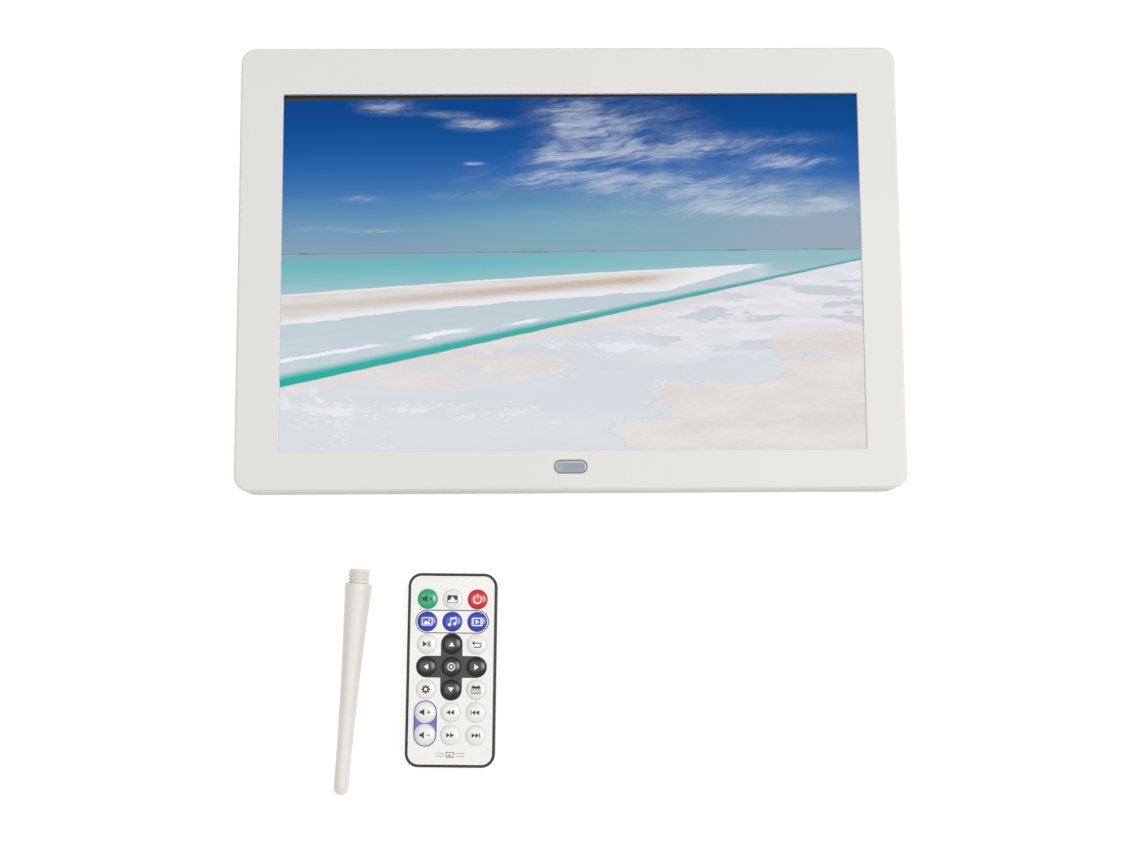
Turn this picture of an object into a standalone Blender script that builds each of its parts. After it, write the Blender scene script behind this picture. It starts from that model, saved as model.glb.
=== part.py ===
"""A digital photo frame with its screw-in support leg and its card remote control.

The three pieces lie on one flat surface, the frame on its back. +X is to the right and +Y is
towards the frame's top edge as its picture is seen, and +Z points out of the picture. The
origin is the middle of the frame's rear face. Lengths are in metres.
"""

from math import asin, cos, pi, radians, sin, sqrt

import bmesh
import bpy
from mathutils import Matrix, Vector

MM = 0.001
CLEARANCE = 0.3 * MM

# ---------------------------------------------------------------- driving dimensions
FRAME_WIDTH = 299.2 * MM
FRAME_HEIGHT = 203.3 * MM
FRAME_DEPTH = 24.0 * MM
FRAME_CORNER = 7.0 * MM
WALL = 2.0 * MM
FRONT_WALL = 2.2 * MM
FRONT_EDGE_RADIUS = 1.2 * MM
REAR_EDGE_RADIUS = 5.0 * MM
SEAM_Z = 18.5 * MM
TONGUE_INSET = 2.3 * MM
TONGUE_DEPTH = 1.2 * MM

PICTURE_WIDTH = 261.1 * MM
PICTURE_HEIGHT = 163.2 * MM
OPENING_WIDTH = 261.8 * MM
OPENING_HEIGHT = 163.9 * MM
OPENING_CENTRE = Vector((0.87 * MM, -2.17 * MM))
MODULE_WIDTH = 275.0 * MM
MODULE_HEIGHT = 173.0 * MM
MODULE_CENTRE = Vector((0.87 * MM, -0.7 * MM))
CELL_THICKNESS = 1.4 * MM
BACKLIGHT_THICKNESS = 4.5 * MM
SHEET_METAL = 0.5 * MM

SCREW_PLACES = [(sx * 138.0 * MM, sy * 92.5 * MM) for sx in (-1, 1) for sy in (-1, 1)]
SCREW_HOLE_RADIUS = 1.6 * MM
BRACKET_X = 95.0 * MM
BRACKET_PIN_Y = {"top": 91.0 * MM, "bottom": -92.6 * MM}

WINDOW_CENTRE = Vector((-0.34 * MM, -91.4 * MM))
WINDOW_LENGTH = 14.7 * MM
WINDOW_HEIGHT = 5.9 * MM
WINDOW_PLAY = 0.25 * MM

LEG_SOCKET_INSET = 27.0 * MM
LEG_THREAD_RADIUS = 4.85 * MM
LEG_THREAD_PITCH = 1.5 * MM
LEG_THREAD_TURNS = 4
LEG_COLLAR_RADIUS = 6.1 * MM
LEG_TIP_RADIUS = 3.35 * MM
LEG_BODY_LENGTH = 94.0 * MM
LEG_LEAN = radians(4.62)
LEG_SHOULDER = Vector((-95.8 * MM, -141.8 * MM))

REAR_KEYS = ("power", "menu", "up", "ok", "down")
REAR_KEY_RADIUS = 4.0 * MM
REAR_KEY_PITCH = 13.0 * MM
REAR_KEY_COLUMN = Vector((118.0 * MM, 50.0 * MM))
REAR_KEY_POCKET_DEPTH = 1.6 * MM

REMOTE_WIDTH = 40.0 * MM
REMOTE_LENGTH = 86.0 * MM
REMOTE_CORNER = 6.0 * MM
REMOTE_RIM_Z = 7.0 * MM
REMOTE_WALL = 1.8 * MM
REMOTE_RIM = 1.1 * MM
REMOTE_FLOOR = 0.8 * MM
REMOTE_PLACE = Vector((-54.05 * MM, -180.6 * MM))
REMOTE_TURN = radians(-0.98)
KEY_RADIUS = 4.35 * MM
KEY_COLUMN_PITCH = 11.2 * MM
KEY_ROW_PITCH = 10.03 * MM
KEY_FIRST_ROW = 31.4 * MM
KEY_ROWS = (
    ("mute", "slideshow", "power"),
    ("photo", "music", "video"),
    ("play", "up", "return"),
    ("left", "ok", "right"),
    ("setup", "down", "calendar"),
    ("volume_up", "rewind", "previous"),
    ("volume_down", "forward", "next"),
)
CELL_RADIUS = 10.0 * MM
CELL_HEIGHT = 2.5 * MM
TRAY_WIDTH = 25.0 * MM
TRAY_LENGTH = 24.0 * MM

CORNER_SEGMENTS = 5
ROUND_SEGMENTS = 20
KEY_SEGMENTS = 16

# ---------------------------------------------------------------- finishes
FINISHES = {
    "bezel_white": ((0.78, 0.77, 0.74), 0.45, 0.0),
    "cover_white": ((0.74, 0.74, 0.71), 0.55, 0.0),
    "leg_white": ((0.80, 0.79, 0.76), 0.40, 0.0),
    "picture": ((0.25, 0.52, 0.66), 0.25, 0.0),
    "sheet_metal": ((0.62, 0.63, 0.65), 0.35, 1.0),
    "film_white": ((0.80, 0.80, 0.78), 0.60, 0.0),
    "circuit_green": ((0.03, 0.20, 0.09), 0.45, 0.0),
    "ribbon_amber": ((0.55, 0.25, 0.05), 0.40, 0.0),
    "window_smoke": ((0.36, 0.39, 0.43), 0.15, 0.0),
    "component_black": ((0.02, 0.02, 0.02), 0.50, 0.0),
    "socket_grey": ((0.42, 0.42, 0.41), 0.50, 0.0),
    "screw_steel": ((0.55, 0.56, 0.58), 0.30, 1.0),
    "remote_black": ((0.02, 0.02, 0.022), 0.35, 0.0),
    "remote_silver": ((0.70, 0.71, 0.72), 0.35, 0.1),
    "key_white": ((0.85, 0.85, 0.85), 0.25, 0.0),
    "key_black": ((0.015, 0.015, 0.015), 0.25, 0.0),
    "key_blue": ((0.05, 0.30, 0.62), 0.25, 0.0),
    "key_red": ((0.75, 0.03, 0.05), 0.25, 0.0),
    "key_green": ((0.02, 0.45, 0.25), 0.25, 0.0),
    "cell_steel": ((0.66, 0.66, 0.64), 0.25, 1.0),
    "contact_gold": ((0.80, 0.62, 0.28), 0.25, 1.0),
    "led_clear": ((0.75, 0.78, 0.82), 0.10, 0.0),
}

Y_AXIS = Matrix.Rotation(-pi / 2, 4, "X")
X_AXIS = Matrix.Rotation(pi / 2, 4, "Y")


# ---------------------------------------------------------------- tools
def clear_scene():
    for item in list(bpy.data.objects):
        bpy.data.objects.remove(item, do_unlink=True)


def finish(name):
    """Return the material of that finish, making it on first use."""
    found = bpy.data.materials.get(name)
    if found:
        return found
    colour, roughness, metallic = FINISHES[name]
    made = bpy.data.materials.new(name)
    made.use_nodes = True
    shader = made.node_tree.nodes["Principled BSDF"]
    shader.inputs["Base Color"].default_value = (*colour, 1.0)
    shader.inputs["Roughness"].default_value = roughness
    shader.inputs["Metallic"].default_value = metallic
    return made


def new_object(name, mesh_builder, material=None, parent=None):
    """Turn a bmesh into a named object with its faces pointing out."""
    bmesh.ops.recalc_face_normals(mesh_builder, faces=mesh_builder.faces)
    mesh = bpy.data.meshes.new(name)
    mesh_builder.to_mesh(mesh)
    mesh_builder.free()
    mesh.shade_smooth()
    mesh.set_sharp_from_angle(angle=radians(35))
    made = bpy.data.objects.new(name, mesh)
    bpy.context.collection.objects.link(made)
    if material:
        mesh.materials.append(finish(material))
    made.parent = parent
    return made


def rounded_outline(width, height, radius, centre=(0, 0), segments=CORNER_SEGMENTS):
    """Points of a rectangle with round corners, anticlockwise."""
    points = []
    for quarter, (sx, sy) in enumerate(((1, 1), (-1, 1), (-1, -1), (1, -1))):
        cx = centre[0] + sx * (width / 2 - radius)
        cy = centre[1] + sy * (height / 2 - radius)
        for step in range(segments + 1):
            angle = (quarter + step / segments) * pi / 2
            points.append((cx + radius * cos(angle), cy + radius * sin(angle)))
    return points


def pill_outline(length, height, centre=(0, 0), segments=8):
    """Points of a slot with round ends, along X."""
    points = []
    for end in (0, 1):
        cx = centre[0] + (1 - 2 * end) * (length - height) / 2
        for step in range(segments + 1):
            angle = -pi / 2 + (end + step / segments) * pi
            points.append((cx + height / 2 * cos(angle), centre[1] + height / 2 * sin(angle)))
    return points


def circle_outline(radius, centre=(0, 0), segments=ROUND_SEGMENTS):
    return [
        (
            centre[0] + radius * cos(2 * pi * step / segments),
            centre[1] + radius * sin(2 * pi * step / segments),
        )
        for step in range(segments)
    ]


def raise_outline(builder, outline, bottom, top):
    """Extrude a flat outline from one height to another inside a bmesh."""
    corners = [builder.verts.new((x, y, bottom)) for x, y in outline]
    face = builder.faces.new(corners)
    lifted = bmesh.ops.extrude_face_region(builder, geom=[face])
    moved = [item for item in lifted["geom"] if isinstance(item, bmesh.types.BMVert)]
    bmesh.ops.translate(builder, verts=moved, vec=(0, 0, top - bottom))


def bevel_level(builder, level, width, segments):
    """Round the outer edges that lie at one height."""
    edges = [
        edge
        for edge in builder.edges
        if all(abs(vert.co.z - level) < 1e-7 for vert in edge.verts)
    ]
    bmesh.ops.bevel(
        builder, geom=edges, offset=width, segments=segments, profile=0.5, affect="EDGES"
    )


def plate(name, outline, bottom, top, material=None, parent=None, rounds=()):
    """A flat piece; rounds lists (height, width, segments) of rounded edges."""
    builder = bmesh.new()
    raise_outline(builder, outline, bottom, top)
    for level, width, segments in rounds:
        bevel_level(builder, level, width, segments)
    return new_object(name, builder, material, parent)


def plates(name, outlines, bottom, top):
    """Several separate flat solids in one object, used as a cutter."""
    builder = bmesh.new()
    for outline in outlines:
        raise_outline(builder, outline, bottom, top)
    return new_object(name, builder)


def box(name, low, high, material=None, parent=None):
    outline = [(low[0], low[1]), (high[0], low[1]), (high[0], high[1]), (low[0], high[1])]
    return plate(name, outline, low[2], high[2], material, parent)


def turned(name, profile, material=None, parent=None, segments=ROUND_SEGMENTS, turn=None):
    """Turn a profile of (radius, height) about Z; turn re-points the axis."""
    builder = bmesh.new()
    rings = []
    for radius, height in profile:
        if radius < 1e-9:
            rings.append([builder.verts.new((0, 0, height))])
        else:
            circle = circle_outline(radius, segments=segments)
            rings.append([builder.verts.new((x, y, height)) for x, y in circle])
    skin_rings(builder, rings)
    if turn is not None:
        builder.transform(turn)
    return new_object(name, builder, material, parent)


def skin_rings(builder, rings):
    """Join neighbouring rings with faces and close the two ends."""
    for lower, upper in zip(rings, rings[1:]):
        count = max(len(lower), len(upper))
        for step in range(count):
            after = (step + 1) % count
            corners = [
                lower[step % len(lower)],
                lower[after % len(lower)],
                upper[after % len(upper)],
                upper[step % len(upper)],
            ]
            builder.faces.new(list(dict.fromkeys(corners)))
    for end in (rings[0], rings[-1]):
        if len(end) > 2:
            builder.faces.new(end)


def combine(target, tool, operation):
    """Add a live Boolean to the target and hide its tool."""
    modifier = target.modifiers.new(tool.name, "BOOLEAN")
    modifier.operation = operation
    modifier.object = tool
    tool.hide_render = True
    tool.display_type = "WIRE"
    tool.parent = target.parent


def cut(target, tool):
    combine(target, tool, "DIFFERENCE")


def weld(target, tool):
    combine(target, tool, "UNION")


def at_angle(origin, angle):
    """An empty that carries pieces placed and turned on the table."""
    carrier = bpy.data.objects.new("carrier", None)
    carrier.location = (origin[0], origin[1], 0)
    carrier.rotation_euler = (0, 0, angle)
    bpy.context.collection.objects.link(carrier)
    return carrier


# ---------------------------------------------------------------- the frame's housing
def frame_outline(inset):
    return rounded_outline(
        FRAME_WIDTH - 2 * inset, FRAME_HEIGHT - 2 * inset, max(FRAME_CORNER - inset, 1 * MM)
    )


def bezel_pin_places():
    return [(sx * BRACKET_X, y) for sx in (-1, 1) for y in BRACKET_PIN_Y.values()]


def front_bezel():
    """The white front with the picture opening, screw bosses and bracket pins."""
    bezel = plate(
        "front_bezel",
        frame_outline(0),
        SEAM_Z + CLEARANCE,
        FRAME_DEPTH,
        "bezel_white",
        rounds=[(FRAME_DEPTH, FRONT_EDGE_RADIUS, 3)],
    )
    rear_of_front = FRAME_DEPTH - FRONT_WALL
    cut(bezel, plate("bezel_hollow", frame_outline(WALL), SEAM_Z - WALL, rear_of_front))
    opening = rounded_outline(OPENING_WIDTH, OPENING_HEIGHT, 0.4 * MM, OPENING_CENTRE, 1)
    cut(bezel, plate("picture_opening", opening, SEAM_Z, FRAME_DEPTH + WALL))
    hole = pill_outline(WINDOW_LENGTH + 2 * WINDOW_PLAY, WINDOW_HEIGHT + 2 * WINDOW_PLAY, WINDOW_CENTRE)
    cut(bezel, plate("window_hole", hole, SEAM_Z, FRAME_DEPTH + WALL))
    bosses = [circle_outline(3.25 * MM, place, 16) for place in SCREW_PLACES]
    weld(bezel, plates("screw_bosses", bosses, 6.9 * MM, rear_of_front + CLEARANCE))
    pilots = [circle_outline(SCREW_HOLE_RADIUS, place, 12) for place in SCREW_PLACES]
    cut(bezel, plates("screw_pilots", pilots, 5.0 * MM, rear_of_front - 2 * MM))
    pins = [circle_outline(1.2 * MM, place, 10) for place in bezel_pin_places()]
    weld(bezel, plates("bracket_pins", pins, 12.2 * MM, rear_of_front + CLEARANCE))
    return bezel


def rear_cover():
    """The deep rear shell: hollow, tongue, screw posts, leg sockets, keys, ports, grilles."""
    cover = plate(
        "rear_cover",
        frame_outline(0),
        0,
        SEAM_Z,
        "cover_white",
        rounds=[(0, REAR_EDGE_RADIUS, 4)],
    )
    inner_radius = REAR_EDGE_RADIUS - WALL
    hollow = plate(
        "cover_hollow", frame_outline(WALL), WALL, 13 * MM, rounds=[(WALL, inner_radius, 2)]
    )
    cut(cover, hollow)
    rim = TONGUE_INSET + TONGUE_DEPTH
    cut(cover, plate("cover_mouth", frame_outline(rim), 12 * MM, SEAM_Z + WALL))
    tongue = plate("tongue", frame_outline(TONGUE_INSET), 15 * MM, SEAM_Z + 2 * MM)
    cut(tongue, plate("tongue_hollow", frame_outline(rim), 14 * MM, SEAM_Z + 3 * MM))
    weld(cover, tongue)
    add_screw_posts(cover)
    add_leg_seats(cover)
    add_key_pocket(cover)
    add_speaker_grilles(cover)
    cut(cover, side_ports())
    return cover


def add_screw_posts(cover):
    posts = [circle_outline(4.5 * MM, place, 16) for place in SCREW_PLACES]
    weld(cover, plates("screw_posts", posts, 1 * MM, 6.5 * MM))
    heads = [circle_outline(3.0 * MM, place, 16) for place in SCREW_PLACES]
    cut(cover, plates("screw_recesses", heads, -1 * MM, 4.5 * MM))
    holes = [circle_outline(SCREW_HOLE_RADIUS, place, 12) for place in SCREW_PLACES]
    cut(cover, plates("screw_holes", holes, 4 * MM, 8 * MM))


def leg_socket_places():
    """The landscape socket above the bottom edge, the portrait one by a short side."""
    return {
        "landscape": Vector((0, LEG_SOCKET_INSET - FRAME_HEIGHT / 2)),
        "portrait": Vector((LEG_SOCKET_INSET - FRAME_WIDTH / 2, 0)),
    }


SOCKET_OUTER = 7.0 * MM
SOCKET_TOP = 9.2 * MM
SOCKET_BORE = LEG_THREAD_RADIUS + CLEARANCE


def add_leg_seats(cover):
    places = leg_socket_places().values()
    seats = [circle_outline(SOCKET_OUTER + 2.3 * MM, place) for place in places]
    weld(cover, plates("leg_seats", seats, 1 * MM, 8 * MM))
    holes = [circle_outline(SOCKET_OUTER + CLEARANCE, place) for place in places]
    cut(cover, plates("leg_holes", holes, -1 * MM, 10 * MM))


def leg_sockets():
    """Blind bushes that the leg screws into, one for each way the frame stands."""
    profile = [
        (SOCKET_BORE, 0.6 * MM),
        (SOCKET_OUTER, 0.6 * MM),
        (SOCKET_OUTER, SOCKET_TOP),
        (0, SOCKET_TOP),
    ]
    inner = [(0, SOCKET_TOP - 1.2 * MM), (SOCKET_BORE, SOCKET_TOP - 1.2 * MM)]
    for name, place in leg_socket_places().items():
        socket = turned(f"leg_socket_{name}", inner + profile, "socket_grey")
        socket.location = (*place, 0)


def rear_key_places():
    middle = (len(REAR_KEYS) - 1) / 2
    return {
        key: REAR_KEY_COLUMN + Vector((0, (middle - row) * REAR_KEY_PITCH))
        for row, key in enumerate(REAR_KEYS)
    }


def add_key_pocket(cover):
    length = len(REAR_KEYS) * REAR_KEY_PITCH + 2 * MM
    pad = rounded_outline(20 * MM, length + 4 * MM, 4 * MM, REAR_KEY_COLUMN)
    weld(cover, plate("key_pad", pad, 1 * MM, REAR_KEY_POCKET_DEPTH + WALL))
    pocket = rounded_outline(15 * MM, length, 7 * MM, REAR_KEY_COLUMN)
    cut(cover, plate("key_pocket", pocket, -1 * MM, REAR_KEY_POCKET_DEPTH))
    holes = [
        circle_outline(REAR_KEY_RADIUS + CLEARANCE, place, KEY_SEGMENTS)
        for place in rear_key_places().values()
    ]
    cut(cover, plates("key_holes", holes, 0.5 * MM, 6 * MM))


def rear_keys():
    """Push keys in the pocket, each with a flange that holds it inside the cover."""
    flange = REAR_KEY_POCKET_DEPTH + WALL + CLEARANCE
    profile = [
        (0, 0.7 * MM),
        (3.2 * MM, 0.75 * MM),
        (REAR_KEY_RADIUS, 1.3 * MM),
        (REAR_KEY_RADIUS, flange),
        (REAR_KEY_RADIUS + 1 * MM, flange),
        (REAR_KEY_RADIUS + 1 * MM, flange + 0.7 * MM),
        (1.5 * MM, flange + 0.7 * MM),
        (1.5 * MM, flange + 1.3 * MM),
        (0, flange + 1.3 * MM),
    ]
    for key, place in rear_key_places().items():
        made = turned(f"rear_key_{key}", profile, "socket_grey", segments=KEY_SEGMENTS)
        made.location = (*place, 0)
    low = (REAR_KEY_COLUMN.x - 8 * MM, REAR_KEY_COLUMN.y - 36 * MM, 6.1 * MM)
    high = (REAR_KEY_COLUMN.x + 8 * MM, REAR_KEY_COLUMN.y + 36 * MM, 7.7 * MM)
    box("key_board", low, high, "circuit_green")


SPEAKER_PLACES = {"left": (-62 * MM, -72 * MM), "right": (62 * MM, -72 * MM)}
SPEAKER_RADIUS = 14 * MM


def add_speaker_grilles(cover):
    slots = []
    for place in SPEAKER_PLACES.values():
        for row in range(-3, 4):
            offset = row * 3.2 * MM
            length = 2 * sqrt((SPEAKER_RADIUS - 2 * MM) ** 2 - offset**2)
            centre = (place[0], place[1] + offset)
            slots.append(pill_outline(length, 1.4 * MM, centre, 2))
    cut(cover, plates("grille_slots", slots, -1 * MM, 3 * MM))


def speakers():
    """Small round loudspeakers: basket, cone and magnet in one piece."""
    profile = [
        (0, 4.2 * MM),
        (3.0 * MM, 3.8 * MM),
        (4.0 * MM, 5.2 * MM),
        (11.5 * MM, 3.2 * MM),
        (12.4 * MM, 2.6 * MM),
        (SPEAKER_RADIUS, 2.6 * MM),
        (SPEAKER_RADIUS, 4.2 * MM),
        (9.0 * MM, 6.5 * MM),
        (7.0 * MM, 6.5 * MM),
        (7.0 * MM, 9.0 * MM),
        (0, 9.0 * MM),
    ]
    for side, place in SPEAKER_PLACES.items():
        made = turned(f"speaker_{side}", profile, "component_black")
        made.location = (*place, 0)


# ---------------------------------------------------------------- ports on the right side
BOARD_BOTTOM = 10.9 * MM
BOARD_TOP = 12.5 * MM
PORT_FACE_X = FRAME_WIDTH / 2 - WALL - CLEARANCE
PORT_TOP = BOARD_BOTTOM - CLEARANCE
CARD_Y, USB_Y, PHONES_Y, POWER_Y = -2 * MM, -26 * MM, -44 * MM, -60 * MM
POWER_Z = 7.7 * MM
PHONES_Z = 7.9 * MM


def side_ports():
    """Cutters for the port openings in the cover's right wall."""
    builder = bmesh.new()
    outlines = (
        rounded_outline(2.6 * MM, 26 * MM, 0.5 * MM, (-9.1 * MM, CARD_Y), 2),
        rounded_outline(5.4 * MM, 13.4 * MM, 0.5 * MM, (-7.6 * MM, USB_Y), 2),
        circle_outline(2.6 * MM, (-PHONES_Z, PHONES_Y), 16),
        circle_outline(3.3 * MM, (-POWER_Z, POWER_Y), 16),
    )
    for outline in outlines:
        raise_outline(builder, outline, PORT_FACE_X - 1 * MM, FRAME_WIDTH / 2 + WALL)
    builder.transform(X_AXIS)
    return new_object("port_cutters", builder)


def ports():
    """Card, USB, headphone and power sockets, hung under the main board."""
    card = box(
        "memory_card_socket",
        (PORT_FACE_X - 27 * MM, CARD_Y - 14 * MM, 7.4 * MM),
        (PORT_FACE_X, CARD_Y + 14 * MM, PORT_TOP),
        "sheet_metal",
    )
    low = (PORT_FACE_X - 24 * MM, CARD_Y - 12.3 * MM, 8.0 * MM)
    cut(card, box("card_slot", low, (PORT_FACE_X + WALL, CARD_Y + 12.3 * MM, 10.1 * MM)))
    usb = box(
        "usb_socket",
        (PORT_FACE_X - 14 * MM, USB_Y - 6.9 * MM, 4.4 * MM),
        (PORT_FACE_X, USB_Y + 6.9 * MM, PORT_TOP),
        "sheet_metal",
    )
    low = (PORT_FACE_X - 12 * MM, USB_Y - 6.3 * MM, 5.0 * MM)
    cut(usb, box("usb_mouth", low, (PORT_FACE_X + WALL, USB_Y + 6.3 * MM, 10.0 * MM)))
    low = (PORT_FACE_X - 13 * MM, USB_Y - 5.5 * MM, 7.8 * MM)
    weld(usb, box("usb_tongue", low, (PORT_FACE_X - 1 * MM, USB_Y + 5.5 * MM, 9.4 * MM)))
    round_socket("headphone_jack", PHONES_Y, PHONES_Z, 1.8 * MM, (3 * MM, 12 * MM), 5.2 * MM)
    jack = round_socket("power_jack", POWER_Y, POWER_Z, 2.5 * MM, (4.5 * MM, 13 * MM), 4.8 * MM)
    pin = turned(
        "power_pin", [(0, -12 * MM), (0.9 * MM, -12 * MM), (0.9 * MM, -1 * MM), (0, -1 * MM)],
        segments=10, turn=X_AXIS,
    )
    pin.location = (PORT_FACE_X, POWER_Y, POWER_Z)
    weld(jack, pin)


def round_socket(name, y, z, bore, half_width_and_length, bottom):
    half_width, length = half_width_and_length
    body = box(
        name,
        (PORT_FACE_X - length, y - half_width, bottom),
        (PORT_FACE_X, y + half_width, PORT_TOP),
        "component_black",
    )
    profile = [(0, 2 * MM - length), (bore, 2 * MM - length), (bore, 1 * MM), (0, 1 * MM)]
    tool = turned(f"{name}_bore", profile, segments=16, turn=X_AXIS)
    tool.location = (PORT_FACE_X, y, z)
    cut(body, tool)
    return body


# ---------------------------------------------------------------- inside the frame
def centred(width, height, centre=MODULE_CENTRE, radius=1 * MM):
    return rounded_outline(width, height, radius, centre, 1)


def display():
    """The panel stack: metal front frame, glass cell and backlight, back to front."""
    metal_top = FRAME_DEPTH - FRONT_WALL - CLEARANCE
    cell_top = metal_top - SHEET_METAL - CLEARANCE
    cell_bottom = cell_top - CELL_THICKNESS
    light_top = cell_bottom - CLEARANCE
    frame = plate(
        "lcd_metal_frame", centred(MODULE_WIDTH, MODULE_HEIGHT), 15.5 * MM, metal_top,
        "sheet_metal",
    )
    inner = centred(MODULE_WIDTH - 2 * SHEET_METAL, MODULE_HEIGHT - 2 * SHEET_METAL)
    cut(frame, plate("metal_frame_hollow", inner, 14 * MM, metal_top - SHEET_METAL))
    picture = centred(PICTURE_WIDTH + 2 * MM, PICTURE_HEIGHT + 2 * MM, OPENING_CENTRE)
    cut(frame, plate("metal_frame_window", picture, 15 * MM, metal_top + WALL))
    plate("lcd_cell", centred(268.5 * MM, 169.5 * MM), cell_bottom, cell_top, "picture")
    plate(
        "backlight_unit", centred(272.8 * MM, 170.8 * MM),
        light_top - BACKLIGHT_THICKNESS, light_top, "film_white",
    )


def panel_brackets():
    """Two long strips across the panel's back, staked on the bezel's pins."""
    top, bottom = BRACKET_PIN_Y["top"], BRACKET_PIN_Y["bottom"]
    for side, sign in (("left", -1), ("right", 1)):
        centre = (sign * BRACKET_X, (top + bottom) / 2)
        outline = rounded_outline(12 * MM, top - bottom + 8 * MM, 2 * MM, centre, 2)
        strip = plate(f"panel_bracket_{side}", outline, 13.0 * MM, 13.8 * MM, "sheet_metal")
        holes = [
            circle_outline(1.5 * MM, (sign * BRACKET_X, y), 12)
            for y in BRACKET_PIN_Y.values()
        ]
        holes += [
            pill_outline(5 * MM, 3 * MM, (sign * BRACKET_X, step * 30 * MM), 4)
            for step in (-2, -1, 0, 1, 2)
        ]
        cut(strip, plates(f"bracket_holes_{side}", holes, 12 * MM, 15 * MM))


def electronics():
    """Main board with its chips, ribbon to the panel, infrared window and receiver."""
    board = box(
        "main_board", (30 * MM, -70 * MM, BOARD_BOTTOM), (141.5 * MM, 14 * MM, BOARD_TOP),
        "circuit_green",
    )
    chips = (
        ((62, -52), (84, -30), 2.0), ((96, -58), (108, -44), 1.6), ((40, -60), (52, -50), 3.0),
        ((44, -14), (58, -4), 1.4), ((72, -18), (80, -8), 4.0), ((96, -30), (110, -16), 1.4),
    )
    builder = bmesh.new()
    for (x0, y0), (x1, y1), height in chips:
        corners = [(x0 * MM, y0 * MM), (x1 * MM, y0 * MM), (x1 * MM, y1 * MM), (x0 * MM, y1 * MM)]
        raise_outline(builder, corners, BOARD_BOTTOM - height * MM, BOARD_BOTTOM + CLEARANCE)
    weld(board, new_object("board_chips", builder))
    ribbon()
    infrared_window()
    infrared_receiver()


def infrared_receiver():
    """The receiver block with its dome, on a small board of its own behind the window."""
    board_top = 14.2 * MM
    box(
        "ir_receiver_board", (WINDOW_CENTRE.x - 8 * MM, -97.2 * MM, board_top - 1 * MM),
        (WINDOW_CENTRE.x + 8 * MM, -88.2 * MM, board_top), "circuit_green",
    )
    outline = rounded_outline(5.6 * MM, 4.8 * MM, 0.4 * MM, WINDOW_CENTRE, 1)
    body_top = 18.6 * MM
    body = plate("ir_receiver", outline, board_top + CLEARANCE, body_top, "component_black")
    radius, foot = 2.0 * MM, body_top - 0.4 * MM
    arc = [(radius * cos(angle), foot + 1.5 * MM * sin(angle)) for angle in (0, pi / 6, pi / 3)]
    dome = turned("receiver_dome", [(0, foot)] + arc + [(0, foot + 1.5 * MM)], segments=14)
    dome.location = (*WINDOW_CENTRE, 0)
    weld(body, dome)


def ribbon():
    """A flat cable, stepped down from the panel's back to the main board."""
    thickness = 0.3 * MM
    path = (
        (-30 * MM, 13.85 * MM), (14 * MM, 13.85 * MM), (20 * MM, 13.6 * MM),
        (28 * MM, 13.05 * MM), (34 * MM, 12.85 * MM), (42 * MM, 12.85 * MM),
    )
    profile = [(x, z) for x, z in path] + [(x, z + thickness) for x, z in reversed(path)]
    builder = bmesh.new()
    corners = [builder.verts.new((x, -38 * MM, z)) for x, z in profile]
    lifted = bmesh.ops.extrude_face_region(builder, geom=[builder.faces.new(corners)])
    moved = [item for item in lifted["geom"] if isinstance(item, bmesh.types.BMVert)]
    bmesh.ops.translate(builder, verts=moved, vec=(0, 22 * MM, 0))
    new_object("lcd_flex_cable", builder, "ribbon_amber")


def infrared_window():
    """A smoked pill-shaped lens with a flange behind the bezel."""
    flange_top = FRAME_DEPTH - FRONT_WALL - CLEARANCE
    lens = plate(
        "ir_window",
        pill_outline(WINDOW_LENGTH, WINDOW_HEIGHT, WINDOW_CENTRE),
        flange_top - CLEARANCE,
        FRAME_DEPTH - 0.1 * MM,
        "window_smoke",
        rounds=[(FRAME_DEPTH - 0.1 * MM, 0.5 * MM, 2)],
    )
    flange = pill_outline(WINDOW_LENGTH + 2.2 * MM, WINDOW_HEIGHT + 1.2 * MM, WINDOW_CENTRE)
    weld(lens, plate("window_flange", flange, flange_top - 0.8 * MM, flange_top))


def housing_screws():
    """Four pan-head screws with cross recesses, up through the posts into the bosses."""
    head = 2.4 * MM
    profile = [
        (0, head), (2.0 * MM, head), (2.6 * MM, head + 0.5 * MM), (2.6 * MM, head + 1.7 * MM),
        (1.25 * MM, head + 1.7 * MM), (1.25 * MM, 17.0 * MM), (0.5 * MM, 18.0 * MM), (0, 18.0 * MM),
    ]
    for number, place in enumerate(SCREW_PLACES, start=1):
        screw = turned(f"housing_screw_{number}", profile, "screw_steel", segments=16)
        screw.location = (*place, 0)
        for slot, size in (("a", (1.5, 0.3)), ("b", (0.3, 1.5))):
            outline = rounded_outline(
                2 * size[0] * MM, 2 * size[1] * MM, 0.05 * MM, place, 1
            )
            cut(screw, plate(f"cross_{slot}_{number}", outline, 1 * MM, head + 0.9 * MM))


# ---------------------------------------------------------------- the support leg
def leg_radius(distance):
    """The leg's radius below its collar: a long horn that runs out near the tip."""
    taper = max(0.0, 1 - distance / (85 * MM))
    return LEG_TIP_RADIUS + (LEG_COLLAR_RADIUS - LEG_TIP_RADIUS) * taper**1.6


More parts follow.
